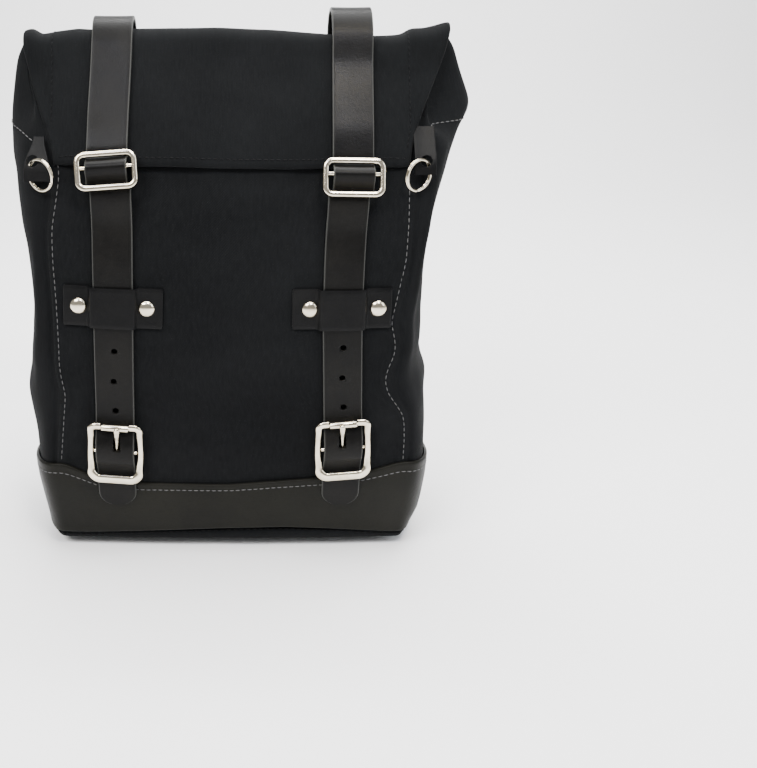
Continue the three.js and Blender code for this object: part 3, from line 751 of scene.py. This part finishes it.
def base_pan():
    around = turns(60, 30, 40)
    profile = [(-9.0, 0.0), (-6.5, 0.15), (-3.4, 0.9), (-1.2, 2.6), (-0.2, 5.2), (0.15, 8.0), (0.0, 11.6),
               (-2.6, 11.6), (-3.6, 8.0), (-5.2, 4.2), (-9.0, 3.0)]
    points, uv = [], []
    for out, z in profile:
        for q in around:
            p, n = skin(q, BOTTOM, out, rough=False)
            wave = 0.5 * noise.noise((p.x * 0.03, p.y * 0.03, 2.0)) * (1 if 1 < z < 10 else 0)
            points.append((p.x + n.x * wave, p.y + n.y * wave, z))
            uv.append((q * 140, z * 1.6))
    n = len(around)
    faces = quads(len(profile), n, closed_columns=True)
    low, high = len(points), len(points) + 1
    points += [(0, 0, 0.0), (0, 0, 3.0)]
    uv += [(0, -70), (0, -70)]
    last = (len(profile) - 1) * n
    for c in range(n):
        d = (c + 1) % n
        faces.append((low, d, c))
        faces.append((high, last + c, last + d))
    return outward(piece("base_pan", points, faces, CANVAS, uv))


on_bag(base_pan(), "bag", "canvas", "base_panel")


# ---- the leather band -------------------------------------------------------------------------

BAND_TOP = smooth_table([(-200, 69), (-158, 70), (-146, 74), (-132, 76), (-120, 71), (-103, 62.5),
                         (-86, 60.4), (-72, 58.9), (0, 57.8), (41, 61.3), (72, 63.8), (88, 65.2),
                         (105, 68.0), (122, 73.1), (136, 77.2), (148, 76), (158, 72), (200, 70)], 4)
BAND_LOW = smooth_table([(-200, 10), (-150, 9.5), (-119, 9), (-60, 12), (-11, 14.5), (42, 16), (90, 13),
                         (128, 9.5), (150, 9.5), (200, 10)], 8)


def band_edge(table, q, z):
    x, y = outline(q, z)
    if y > 14:
        return 60.0 if table is BAND_TOP else 11.0
    return lerp(table(x), 60.0 if table is BAND_TOP else 11.0, ramp(y, -62, 14))


BAND_OUT = 0.55
BAND_THICK = 2.3


def band_point(q, share, out):
    low, high = band_edge(BAND_LOW, q, 12), band_edge(BAND_TOP, q, 60)
    z = lerp(low, high, share)
    p, n = skin(q, max(z, BOTTOM), 0.0, rough=False)
    if z < BOTTOM:
        p = Vector((p.x, p.y, z)) - Vector((n.x, n.y, 0)) * 0.12 * (BOTTOM - z)
    swell = 0.8 * math.sin(math.pi * share) + 0.7 * noise.noise((p.x * 0.02, p.y * 0.02, z * 0.02))
    swell *= ramp(share, 0.0, 0.25) * (1 - ramp(share, 0.75, 1.0))
    return p + n * (out + swell * 0.6), n


def leather_band():
    around = turns(120, 60, 60)
    section = []
    bevel = 0.022
    for share in (0.0, 0.02, 0.06, 0.14, 0.25, 0.37, 0.5, 0.63, 0.75, 0.86, 0.94, 0.98, 1.0):
        section.append((share, 0.0))
    section.append((1.0, BAND_THICK - 0.8))
    section.append((1.0 - bevel * 0.4, BAND_THICK - 0.15))
    for share in (0.972, 0.94, 0.9, 0.85, 0.75, 0.63, 0.5, 0.37, 0.25, 0.14, 0.06, 0.025):
        section.append((share, BAND_THICK))
    section.append((bevel * 0.4, BAND_THICK - 0.15))
    section.append((0.0, BAND_THICK - 0.8))
    rings = []
    for share, out in section:
        dip = 0.35 * bell(share, 0.885, 0.03) if out == BAND_THICK else 0.0
        rings.append([band_point(q, share, BAND_OUT + out - dip)[0] for q in around])
    return loft("leather_band", rings, BAND_LEATHER, sharp=55, closed=True)


on_bag(leather_band(), "bag", "leather", "base_band")


def pan_stitch(q):
    p, n = skin(q, BOTTOM, 0.25, rough=False)
    return Vector((p.x, p.y, band_edge(BAND_LOW, q, 12) - 3.4)), n


def band_stitch(q):
    return band_point(q, 0.885, BAND_OUT + BAND_THICK - 0.1)


sew("band_stitches", trace(np.linspace(0, 4, 900), band_stitch), LIGHT_THREAD, 4.7, 3.4, 0.42)
sew("base_stitches", trace(np.linspace(0, 4, 700), pan_stitch), BLACK_THREAD, 5.2, 3.6, 0.5)


# ---- seams of the body ------------------------------------------------------------------------

SEAM_PROUD = 0.32


def front_turn(x):
    """The turn at which the front is x across."""
    return lambda z: (x(z) + SEAM_LEFT(z)) / (SEAM_LEFT(z) + SEAM_RIGHT(z))


SEAMS = {
    "front_left": (309, front_turn(lambda z: -SEAM_LEFT(z) + 2.2)),
    "front_right": (309, front_turn(lambda z: SEAM_RIGHT(z) - 2.2)),
    "back_right": (384, lambda z: 2 + 3.4 / (SEAM_LEFT(z) + SEAM_RIGHT(z))),
    "back_left": (384, lambda z: 3 - 3.4 / (SEAM_LEFT(z) + SEAM_RIGHT(z))),
}
for where, (top, turn) in SEAMS.items():
    sew(f"seam_{where}", trace(np.linspace(78, top, 220), lambda z: skin(turn(z), z, SEAM_PROUD)),
        LIGHT_THREAD, 4.9, 3.3, 0.34)


def gusset_stitch(sign, t):
    """The light row of stitches across each gusset, under the mouth."""
    q = 1 + t if sign > 0 else 4 - t
    z = (329 + 6 * math.sin(math.pi * t)) if sign > 0 else (318 + 17 * math.sin(math.pi * t * 0.9))
    return skin(q, z, SEAM_PROUD)


for where, sign in SIDES.items():
    sew(f"gusset_stitches_{where}", trace(np.linspace(0.04, 0.96, 120), lambda t: gusset_stitch(sign, t)),
        LIGHT_THREAD, 4.6, 3.4, 0.42)


# ---- the folded mouth -------------------------------------------------------------------------

FLAP_THICK = 5.0
FLAP_LINE = [(13.6, 380.5), (12.9, 385.5), (9.6, 390.3), (4, 391.6), (-6, 391.5), (-12.6, 389.7)]
for height in (384, 365, 340, 315, 306):
    slope = (FRONT(height - 4) - FRONT(height + 2)) / 6
    n = np.array([-1, -slope]) / math.hypot(1, slope)
    FLAP_LINE.append((FRONT(height) + 3.4 * n[0], height + 3.4 * n[1]))
FLAP_PATH, FLAP_RUN = spline(FLAP_LINE, 200)
FLAP_TANGENT = directions(FLAP_PATH)
RIDGE = smooth_table([(-170, 1.5), (-153, 2.4), (-145, 4.8), (-138, 0.6), (-130, 2.2), (-112, 4.6),
                      (-100, 4.0), (-60, 4.8), (-8, 5.2), (30, 3.8), (60, 1.6), (80, 0.2), (95, -0.4),
                      (112, -0.4), (124, 0.2), (127, 0.8), (131.5, 3.4), (142, 3.6), (150, 5.4),
                      (158, 7.8), (170, 8.0)], 1.3)
EDGE_LEFT = [(0, 147), (16, 149), (40, 148), (60, 143.5), (85, 136), (110, 127), (130, 124)]
EDGE_RIGHT = [(0, 151), (14, 157), (22, 160), (32, 158.5), (55, 150), (80, 140), (105, 130.5), (130, 127)]


def flap_frame(share):
    """The flap's side view at a share of its length: y, z and its direction's y, z."""
    shares = np.linspace(0, 1, len(FLAP_PATH))
    return [float(np.interp(share, shares, column)) for column in (*FLAP_PATH.T, *FLAP_TANGENT.T)]


def flap_half(side, run):
    """The flap's half width on one side, this far along it."""
    return float(look_up(EDGE_RIGHT if side > 0 else EDGE_LEFT, run))


def flap_at(u, share, out):
    """A point of the flap: u from -1 to 1 across, share of its length from the back to the hem,
    out from its middle plane."""
    y, z, ty, tz = flap_frame(share)
    run = share * FLAP_RUN[-1]
    x = u * flap_half(u, run)
    crown = CROWN * (x / 150) ** 2 * ramp(run, 20, 60)
    hem = (1.6 * math.sin(x * 0.021 + 0.7) + 1.0 * noise.noise((x * 0.02, 3, 1))) * ramp(share, 0.75, 1.0)
    lift = RIDGE(x) * (1 - ramp(run, 26, 48)) * ramp(run, 2, 12)
    wide = noise.fractal((x * 0.011 + 3, run * 0.013, 4.2), 0.9, 2.0, 3) * 1.5
    wide += noise.noise((x * 0.04, run * 0.018, 9.0)) * 0.5
    strap = bell(abs(x), 88.5, 20)
    bulge = wide * lerp(1, 0.15, min(1, 2 * strap)) * ramp(run, 14, 40)
    bulge = min(bulge, 0.5) if strap > 0.4 else bulge
    seam = 0.9 * (bell(abs(x), 131.5 + (0 if u < 0 else 1), 1.5)) * ramp(run, 18, 30)
    step = 1.5 * ramp(x, 129.5, 132.5) * ramp(run, 16, 26) * (1 - ramp(run, 70, 110))
    end = ramp(abs(u), 0.80, 1.0)
    roll = -4.5 * end ** 2 * ramp(run, 30, 60) if u < 0 else -2.2 * end ** 2 * ramp(run, 30, 60)
    o = out + bulge * (1 if out > 0 else 0.4) - (seam if out > 0 else 0) + roll + step
    return Vector((x, y + tz * o + crown, z - ty * o + lift - hem * 0.9))


def flap_thickness(share):
    run = share * FLAP_RUN[-1]
    return lerp(1.7, FLAP_THICK, ramp(run, 3, 22)) + 0.5 * bell(share, 0.975, 0.02)


def folded_mouth():
    across = 150
    shares = np.linspace(0, 1, 110)
    section = []
    for u in np.linspace(-1, 1, across):
        section.append((u, 1))
    for k in range(1, 6):
        section.append((1, math.cos(math.pi * k / 6)))
    for u in np.linspace(1, -1, across):
        section.append((u, -1))
    for k in range(1, 6):
        section.append((-1, -math.cos(math.pi * k / 6)))
    rings, uv = [], []
    for share in shares:
        ring = []
        thick = flap_thickness(share)
        tip = ramp(share, 0.985, 1.0)
        for u, o in section:
            swell = math.sqrt(max(0.0, 1 - o * o)) * thick * 0.42 if abs(o) < 1 else 0.0
            p = flap_at(u, share, o * thick / 2 * lerp(1, 0.72, tip))
            p.x += math.copysign(swell, u)
            ring.append(p)
            uv.append((p.x, share * FLAP_RUN[-1]))
        rings.append(ring)
    return loft("folded_mouth", rings, CANVAS, uv, sharp=60)


flap = folded_mouth()
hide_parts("flap")
HINGE_START, HINGE_END = (0, 0.0135, 0.3915), (0, 0.0015, 0.3915)
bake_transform(flap)
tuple(HINGE_START)
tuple(HINGE_END)


def flap_stitch(u, share, proud):
    """A point just over the flap's outer face, and the way out there."""
    out = flap_thickness(share) / 2 + proud
    p = flap_at(u, share, out)
    return p, p - flap_at(u, share, out - 1)


def flap_column(x, share):
    u = x / flap_half(x, share * FLAP_RUN[-1])
    return flap_stitch(max(-0.985, min(0.985, u)), share, 0.2)


sew("hem_stitches", trace(np.linspace(-0.985, 0.985, 320), lambda u: flap_stitch(u, 0.955, 0.18)),
    BLACK_THREAD, 4.4, 3.2, 0.42, "flap")
for where, x, last in (("left", -128.6, 0.74), ("right", 129.8, 0.9)):
    sew(f"flap_seam_{where}", trace(np.linspace(0.16, last, 160), lambda share: flap_column(x, share)),
        BLACK_THREAD, 4.4, 3.1, 0.34, "flap")


# ---- straps -----------------------------------------------------------------------------------

# The straps, slides and buckles sit a little differently on each side, as worn.

STRAP = 2.8
STRAP_X, UPPER_X = 86.5, 88.5


def lower_shift(where, z):
    """How far the strap wanders off its straight line, as worn."""
    if where == "left":
        return lerp(-1.7, 2.2, ramp(z, 60, 290))
    return lerp(0.8, -3.2, ramp(z, 85, 215)) + 1.6 * ramp(z, 235, 300)


def upper_shift(where, z):
    if where == "left":
        return 1.6 + 2.2 * ramp(z, 320, 400)
    return -0.6 + 0.8 * ramp(z, 320, 400)


LEAN = math.radians(20)
SLIDE_Y = -67.0
FIT = {
    "left": {"slide_z": 307, "slide_turn": -4, "buckle_z": 90, "buckle_turn": 4.5, "arch": 408},
    "right": {"slide_z": 302, "slide_turn": 1, "buckle_z": 93, "buckle_turn": -5, "arch": 414},
}
TABLE_SEAM = [(12, 130), (60, 133), (170, 132), (240, 131), (285, 131), (315, 134), (340, 139),
              (365, 144), (387, 147)]


def cad_front(x, z):
    """The frame's front panel, on which the hardware was placed."""
    return float(look_up(TABLE_FRONT, z) + CROWN * (x / look_up(TABLE_SEAM, z)) ** 2)


def slide_point(z, up, out):
    s, c = math.sin(LEAN), math.cos(LEAN)
    return (SLIDE_Y + up * s - out * c, z + up * c + out * s)


def near(distance, close, far):
    return 1 - ramp(distance, close, far)


# The holed strap's way through its buckle: [height over the bar, distance from the canvas].
WEAVE = [(-36, 4.95), (-30, 4.8), (-24, 4.72), (-19, 4.95), (-12, 7.2), (-6, 10.2), (0, 11.4), (8, 10.2),
         (15, 7.0), (19, 5.0), (22, 4.5), (32, 2.7)]


HOLE_PITCH = 24.5


def lower_strap(where, sign):
    fit = FIT[where]
    x, bz = sign * STRAP_X, fit["buckle_z"]
    tip_z = 41.0
    line = [(cad_front(x, tip_z) - 5.4, tip_z)]
    line += [(cad_front(x, bz + up) - out, bz + up) for up, out in WEAVE]
    line += [(cad_front(x, z) - 2.6, z) for z in (150, 175, 207, 240)]
    line += [(cad_front(x, fit["slide_z"] - 40) - 3.7, fit["slide_z"] - 40)]
    line += [slide_point(fit["slide_z"], -17, -4.7), slide_point(fit["slide_z"], -11.9, -4.7)]
    turn = -math.tan(math.radians(fit["buckle_turn"]))
    lean = lambda z: turn * near(abs(z - bz), 28, 48)

    def taper(_, run):
        r = STRAP_WIDTH * 0.42
        return math.sqrt(max(0.02, 1 - (1 - min(1.0, (run + 0.6) / r)) ** 2)) if run < r else 1.0

    shift = lambda z: lower_shift(where, z)
    made = ribbon(f"holed_strap_{where}", line, STRAP_WIDTH, STRAP - 0.1, STRAP_LEATHER, x, 260, 0.8,
                  lean, taper, shift=shift)
    cutters = []
    for k in range(1, 4):
        z = bz + 9 + k * HOLE_PITCH
        drift = (0.6, -0.4, 0.5)[k - 1] + lower_shift(where, z)
        cutters.append(hole(x + drift, cad_front(x, z) - 2.6, z, 2.35))
    for up, r in ((4.9, 2.85), (7.5, 2.8), (10.2, 2.9)):
        cutters.append(hole(x, cad_front(x, bz + 8) - 9, bz + up, r))
    return punch(made, join("hole_tool", cutters))


for where, sign in SIDES.items():
    made = lower_strap(where, sign)
    on_bag(made, f"lower_strap_{where}", "leather", f"lower_strap_{where}")


STRAP_HINGE_START, STRAP_HINGE_END = (0, 0.0175, 0.3915), (0, 0.0080, 0.3915)


def closing_strap(where, sign):
    """From its anchor on the back, over the ridge and down the flap to the slide, in one piece."""
    fit = FIT[where]
    x, sz = sign * UPPER_X, fit["slide_z"]
    line = []
    for z in (222, 238, 262, 285, 315, 340, 362):
        slope = (BACK(z + 3) - BACK(z - 3)) / 6
        n = np.array([1, -slope]) / math.hypot(1, slope)
        line.append((BACK(z) + 2.35 * n[0], z + 2.35 * n[1]))
    crest = fit["arch"] - STRAP / 2
    line += [(19.4, 374), (17.4, 383), (13.6, crest - 7), (6.5, crest - 1.2), (-1, crest),
             (-9.5, crest - 3.6), (-18, crest - 13.5)]

    out = FLAP_THICK / 2 + 1.0 + STRAP / 2
    for share in (0.40, 0.5, 0.6, 0.7, 0.80):
        y, z, ty, tz = flap_frame(share)
        line.append((y + tz * out, z - ty * out))
    behind = -(2.2 + 1.1 + STRAP / 2)
    for up, out in ((17.5, behind), (12.5, behind), (9, behind + 1.5), (5.9, 1.4), (2.5, 3.5),
                    (-0.5, 2.4), (-5, -1.9), (-8, -4.1), (-8.8, -4.4)):
        line.append(slide_point(sz, up, out))
    turn = -math.tan(math.radians(fit["slide_turn"]))
    lean = lambda z: turn * near(abs(z - sz), 18, 40)
    arch = lambda a, s: 0.25 * (1 - (a / 14.7) ** 2)
    shift = lambda z: upper_shift(where, z)
    return ribbon(f"closing_strap_{where}", line, STRAP_WIDTH, STRAP - 0.1, STRAP_LEATHER, x, 420, 0.8,
                  lean, arch=arch, shift=shift)


for where, sign in SIDES.items():
    made = closing_strap(where, sign)
    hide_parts(f"upper_strap_{where}", f"strap_bend_{where}", f"strap_back_run_{where}")
    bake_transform(made)
    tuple(STRAP_HINGE_START)
    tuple(STRAP_HINGE_END)


# ---- metal fittings ---------------------------------------------------------------------------

def slide_place(where, sign):
    fit = FIT[where]
    t = math.radians(fit["slide_turn"])
    s, c = math.sin(LEAN), math.cos(LEAN)

    def place(x, out, z):
        lx, lz = x * math.cos(t) + z * math.sin(t), -x * math.sin(t) + z * math.cos(t)
        at_x = sign * UPPER_X + lx + upper_shift(where, 0)
        return Vector((at_x, SLIDE_Y + lz * s - out * c, fit["slide_z"] + lz * c + out * s))
    return place


def slide(where, sign):
    place = slide_place(where, sign)
    width = 4.4
    path = rounded_path(44.6 - width, 28.0 - width, 5.2, 5.2)
    loop = wire("slide_loop", path, [width] * len(path), 4.2, place, 0.8, closed=True)
    bar = rod("slide_bar", place(-19.4, 0, 2.5), place(19.4, 0, 2.5), 1.5, NICKEL)
    return join(f"strap_slide_{where}", [loop, bar])


def buckle_place(where, sign, follow=1.0):
    fit = FIT[where]
    t = math.radians(fit["buckle_turn"])
    y0 = cad_front(STRAP_X, fit["buckle_z"])

    def place(x, out, z):
        lx, lz = x * math.cos(t) + z * math.sin(t) * follow, -x * math.sin(t) + z * math.cos(t)
        return Vector((sign * STRAP_X + lx + lower_shift(where, 90), y0 - out, fit["buckle_z"] + lz))
    return place


BUCKLE_STAND, BUCKLE_BOW = 10.0, 3.5  # the frame's ends stand off the canvas, its middle bows in
BAR_OUT = 6.5
ROLLER_UP, ROLLER_HALF = 22, 10.2
FRAME_FOLLOW = 0.45  # how much of the buckle's turn the worn frame shows as a sideways lean


def buckle_out(z):
    return BUCKLE_STAND - BUCKLE_BOW * (1 - (z / 25) ** 2) ** 2


def buckle(where, sign):
    """The frame, open at the top where the roller's bar goes across."""
    place = buckle_place(where, sign)
    framed = buckle_place(where, sign, FRAME_FOLLOW)
    width, height, side, top, low = 42.2, 52.0, 5.0, 5.4, 7.2
    path, across = [], []
    for x, z in rounded_path(width - side, height - (top + low) / 2, 7.0, 4.0, 9, 16):
        z += (low - top) / 4 - 0.4
        x += math.copysign(0.5, x) * bell(z, -3, 9) if abs(x) > 12 else 0.0
        share = ramp(z, -19.0, -14.5)
        across.append(lerp(low, side, share) if z < 0 else lerp(side, top, ramp(z, 17, 21)))
        path.append((x, z))
    gap = ROLLER_HALF + 0.3
    keep = [i for i, (x, z) in enumerate(path) if not (z > 17 and abs(x) < gap)]
    breaks = max(range(len(keep)), key=lambda k: (keep[(k + 1) % len(keep)] - keep[k]) % len(path))
    order = keep[breaks + 1:] + keep[:breaks + 1]
    open_path, widths = [path[i] for i in order], [across[i] for i in order]
    loop = wire("buckle_wire", open_path, widths, 3.5, framed, 0.85, buckle_out)
    pin_ends = [framed(x, BUCKLE_STAND, ROLLER_UP) for x in (-gap - 1.2, gap + 1.2)]
    pin = rod("buckle_pin", *pin_ends, 1.15, NICKEL)
    bar = rod("buckle_bar", place(-16.6, BAR_OUT, 0), place(16.6, BAR_OUT, 0), 1.5, NICKEL)
    return join(f"roller_buckle_{where}", [loop, pin, bar])


TONGUE_SHIFT = {"left": 0.85, "right": 0.0}  # keeps it inside the chape's slot


def tongue(where, sign):
    middle = buckle_place(where, sign)
    place = lambda x, out, z: middle(x + TONGUE_SHIFT[where], out, z)
    line = [(8.9, 0.5), (8.9, 6), (10.4, 11.5), (13, 17), (14.2, 20.8), (14.3, 23.6)]
    path, _ = spline(line, 48)
    rings = []
    for i, ((out, z), (to, tz)) in enumerate(zip(path, directions(path))):
        s = i / (len(path) - 1)
        tip = 1.0 if s < 0.93 else math.sqrt(max(0.03, 1 - ((s - 0.93) / 0.07) ** 2))
        wide, deep = lerp(1.45, 2.2, s) * tip, lerp(0.8, 1.1, s) * tip
        rings.append([place(wide * math.cos(a), out + tz * deep * math.sin(a), z - to * deep * math.sin(a))
                      for a in circle(14)])
    arm = loft("tongue_arm", rings, NICKEL)
    eye = rod("tongue_eye", place(-1.7, BAR_OUT, 0), place(1.7, BAR_OUT, 0), 3.0, NICKEL, 24, 0.4, 1.8)
    return join(f"tongue_{where}", [arm, eye])


for where, sign in SIDES.items():
    on_bag(slide(where, sign), f"slide_{where}", "nickel", f"slide_{where}")
    on_bag(buckle(where, sign), f"buckle_{where}", "nickel", f"buckle_frame_{where}")
    on_bag(tongue(where, sign), f"tongue_{where}", "nickel", f"buckle_tongue_{where}")
    place = buckle_place(where, sign, FRAME_FOLLOW)
    ends = [place(x, BUCKLE_STAND, ROLLER_UP) for x in (-ROLLER_HALF, ROLLER_HALF)]
    sleeve = rod(f"roller_{where}", *ends, 2.75, NICKEL, 28, 0.4, 1.7)
    on_bag(sleeve, f"roller_{where}", "nickel", f"buckle_roller_{where}")


KEEPER_TILT = {"left": 0.042, "right": -0.008}
KEEPER_SHIFT = {"left": (0.6, -0.6), "right": (-3.6, -1.9)}
DOME = [(0.0, 2.6), (1.8, 2.5), (3.4, 2.15), (4.7, 1.55), (5.6, 0.9), (6.05, 0.35), (6.2, 0.1),
        (6.1, -0.05), (1.6, -0.05), (1.6, -2.2), (0.0, -2.2)]


def rivet(name, node, toward, offset=(0, 0)):
    """A domed cap with its post, over the middle of its node. toward is -1 on the front, 1 behind."""
    low, high = (Vector(c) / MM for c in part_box(node))
    middle = (low + high) / 2
    depth = high.y - low.y
    face = (low.y + 2.6) if toward < 0 else (high.y - 2.6)
    if toward < 0 and depth > 5.0:
        face = low.y + 2.65
    profile = [(max(r, 0.02), out) for r, out in DOME]
    dx, dz = offset
    place = lambda a, out, up: Vector((middle.x + a + dx, face + toward * out, middle.z + up + dz))
    on_bag(turning(name, profile, place, NICKEL), "bag", "nickel", node)


for where in SIDES:
    for place_name in ("inner", "outer"):
        node = f"keeper_rivet_{where}_{place_name}"
        dx, dz = KEEPER_SHIFT[where]
        across = (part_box(node)[0].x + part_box(node)[1].x) / 2 / MM - SIDES[where] * STRAP_X
        rivet(f"keeper_stud_{where}_{place_name}", node, -1, (dx * 0.6, dz - across * KEEPER_TILT[where]))
    for place_name in ("low", "high"):
        rivet(f"anchor_stud_{where}_{place_name}", f"anchor_rivet_{where}_{place_name}", 1)
        rivet(f"loop_stud_{where}_{place_name}", f"loop_rivet_{where}_{place_name}", 1)


# ---- keepers, chapes, rack loops and rings ----------------------------------------------------

def keeper(where, sign):
    """A leather patch that humps over the strap, with softened corners."""
    width, height, leather_thick, mid = 73.5, 30.6, 2.0, 207.0
    half_strap = STRAP_WIDTH / 2 + 1
    over = 2.4 + STRAP / 2 + 0.9
    across, up = 96, 20
    tilt = KEEPER_TILT[where]

    def at(u, v, outer):
        corner = 1.6
        dx, dz = abs(u) * width / 2, abs(v) * height / 2
        x, z = u * width / 2, v * height / 2
        ox, oz = dx - (width / 2 - corner), dz - (height / 2 - corner)
        if ox > 0 and oz > 0:
            r = math.hypot(ox, oz)
            if r > corner:
                x = math.copysign(width / 2 - corner + ox * corner / r, u)
                z = math.copysign(height / 2 - corner + oz * corner / r, v)
        rise = near(abs(x), half_strap - 0.2, half_strap + 3.4)
        px = sign * STRAP_X + x + z * tilt + KEEPER_SHIFT[where][0]
        pz = mid + z - x * tilt + KEEPER_SHIFT[where][1]
        edge = max(ramp(abs(v), 0.93, 1.0), ramp(abs(u), 0.97, 1.0))
        curl = 0.25 * noise.noise((px * 0.05, pz * 0.06, 5.0))
        inner = cad_front(px, pz) - lerp(0.35, over, rise)
        return Vector((px, inner - leather_thick + 0.45 * edge - max(0, curl) if outer else inner, pz))

    us = np.sin(np.linspace(-math.pi / 2, math.pi / 2, across) * 0.96) / math.sin(math.pi / 2 * 0.96)
    vs = np.linspace(-1, 1, up)
    points = [at(u, v, outer) for outer in (True, False) for v in vs for u in us]
    count = across * up
    faces = quads(up, across) + quads(up, across, count, flip=True)
    for c in range(across - 1):
        faces.append((c, c + 1, count + c + 1, count + c))
        k = (up - 1) * across
        faces.append((k + c + 1, k + c, count + k + c, count + k + c + 1))
    for r in range(up - 1):
        a, b = r * across, (r + 1) * across
        faces.append((b, a, count + a, count + b))
        faces.append((a + across - 1, b + across - 1, count + b + across - 1, count + a + across - 1))
    return crease_split(outward(piece(f"strap_keeper_{where}", points, faces, PATCH_LEATHER)), 50)


def rack_loop(where, sign):
    y = 68 + 0.3 + 1.4
    z, half, tube, rise = 165.0, 35.0, 9.5, 29.0
    peak = y + 2 * tube + 1
    line = [(y, z - half), (y, z - rise + 6), (y + 1.2, z - 18), (peak - 5, z - tube - 3), (peak, z - 4),
            (peak, z + 4), (peak - 5, z + tube + 3), (y + 1.2, z + 18), (y, z + rise - 6), (y, z + half)]
    material = leather(f"loop_leather_{where}", PATCH_DARK, PATCH_WORN, 0.45, edge_at=15 * MM)
    return ribbon(f"back_loop_{where}", line[::-1], 30, 2.7, material, sign * 87, 150, 0.8)


for where, sign in SIDES.items():
    on_bag(keeper(where, sign), "bag", "leather", f"keeper_{where}")
    on_bag(rack_loop(where, sign), "bag", "leather", f"rack_loop_{where}")


def soften(node, material):
    """A carried-over CAD node: its own shape, with softened edges and a real surface."""
    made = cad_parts[node]
    made.data.materials.clear()
    made.data.materials.append(material)
    edge = made.modifiers.new("soft_edge", "BEVEL")
    edge.width = 0.4 * MM
    edge.segments = 2
    edge.limit_method = "ANGLE"
    edge.angle_limit = math.radians(40)


for where in SIDES:
    soften(f"buckle_chape_{where}", PATCH_LEATHER)
soften("base_board", BOARD)
soften("back_stiffener", BOARD)


RING_EYE = (140.5, -56.2, 311.0)


def ring_tab(where, sign):
    """A leather tab sewn under the mouth's seam. Its free end is punched for the ring."""
    ex, ey, ez = RING_EYE
    if sign > 0:
        line = [(-39.6, 333), (-43.5, 327.5), (-49.2, 320.5), (ey + 0.2, ez), (-57.9, 301.8)]
        taper, middle = None, ex - 0.8
    else:
        line = [(-43.4, 326), (-48.4, 320.5), (-53.0, 315.5), (ey + 0.2, ez), (-58.4, 304.5),
                (-59.0, 297.5)]
        taper, middle = (lambda s, _: lerp(0.5, 1.22, ramp(s, 0, 0.85))), ex - 3.4
    arch = lambda a, s: -0.012 * a * a * (1 if sign > 0 else 1.5)
    made = ribbon(f"leather_tab_{where}", line, 15.5, 2.2, PATCH_LEATHER, sign * middle, 70, 0.7,
                  taper=taper, arch=arch)
    front, back = (sign * ex, ey - 9, ez - 0.4), (sign * ex, ey + 9, ez + 1.2)
    return punch(made, rod("hole", front, back, 3.9, PATCH_LEATHER, 28, 0.2))


def ring(where, sign):
    """A split ring through the tab: one wire that laps itself for a second turn."""
    down = Vector((-0.5 * sign, -0.3, -0.81)).normalized()
    out = Vector((0.35 * sign, -0.85, 0.45))
    out = (out - down * out.dot(down)).normalized()
    side = out.cross(down)
    lean = math.radians(26) * sign
    u = down
    v = (side * math.cos(lean) - out * math.sin(lean)).normalized()
    n = u.cross(v)
    eye = Vector((sign * RING_EYE[0], RING_EYE[1], RING_EYE[2]))
    r, thick, steps = 11.2, 0.72, 150
    middle = eye + down * r
    rings = []
    for k in range(steps):
        s = k / (steps - 1)
        a = 0.9 + s * (4 * math.pi - 0.35)
        lay = 0.62 * (2 * ramp(s, 0.42, 0.58) - 1)
        radial = u * math.cos(a) + v * math.sin(a)
        centre = middle + radial * r + n * lay
        rings.append([centre + radial * (thick * 1.35 * math.cos(b)) + n * (thick * 0.85 * math.sin(b))
                      for b in circle(12)])
    return loft(f"split_ring_{where}", rings, NICKEL, sharp=0)


for where, sign in SIDES.items():
    on_bag(ring_tab(where, sign), "bag", "leather", f"ring_tab_{where}")
    on_bag(ring(where, sign), f"ring_{where}", "nickel", f"strap_ring_{where}")


# ---- floor ------------------------------------------------------------------------------------

def floor():
    """A pale sheet that runs back and curves up behind the bag."""
    depth = [(-2.2, 0.0), (0.9, 0.0), (1.2, 0.02), (1.5, 0.10), (1.75, 0.25), (1.9, 0.5), (1.98, 0.9),
             (2.0, 1.4), (2.0, 3.0)]
    path, _ = spline([(y * 1000, z * 1000) for y, z in depth], 60)
    points = [(x, y, z - 0.05) for y, z in path for x in (-3000, 3000)]
    made = piece("floor", points, quads(len(path), 2), paper())


floor()
world = bpy.data.worlds.new("studio")
bpy.context.scene.world = world
world.use_nodes = True
world.node_tree.nodes["Background"].inputs[0].default_value = (1, 1, 1, 1)
world.node_tree.nodes["Background"].inputs[1].default_value = 0.40
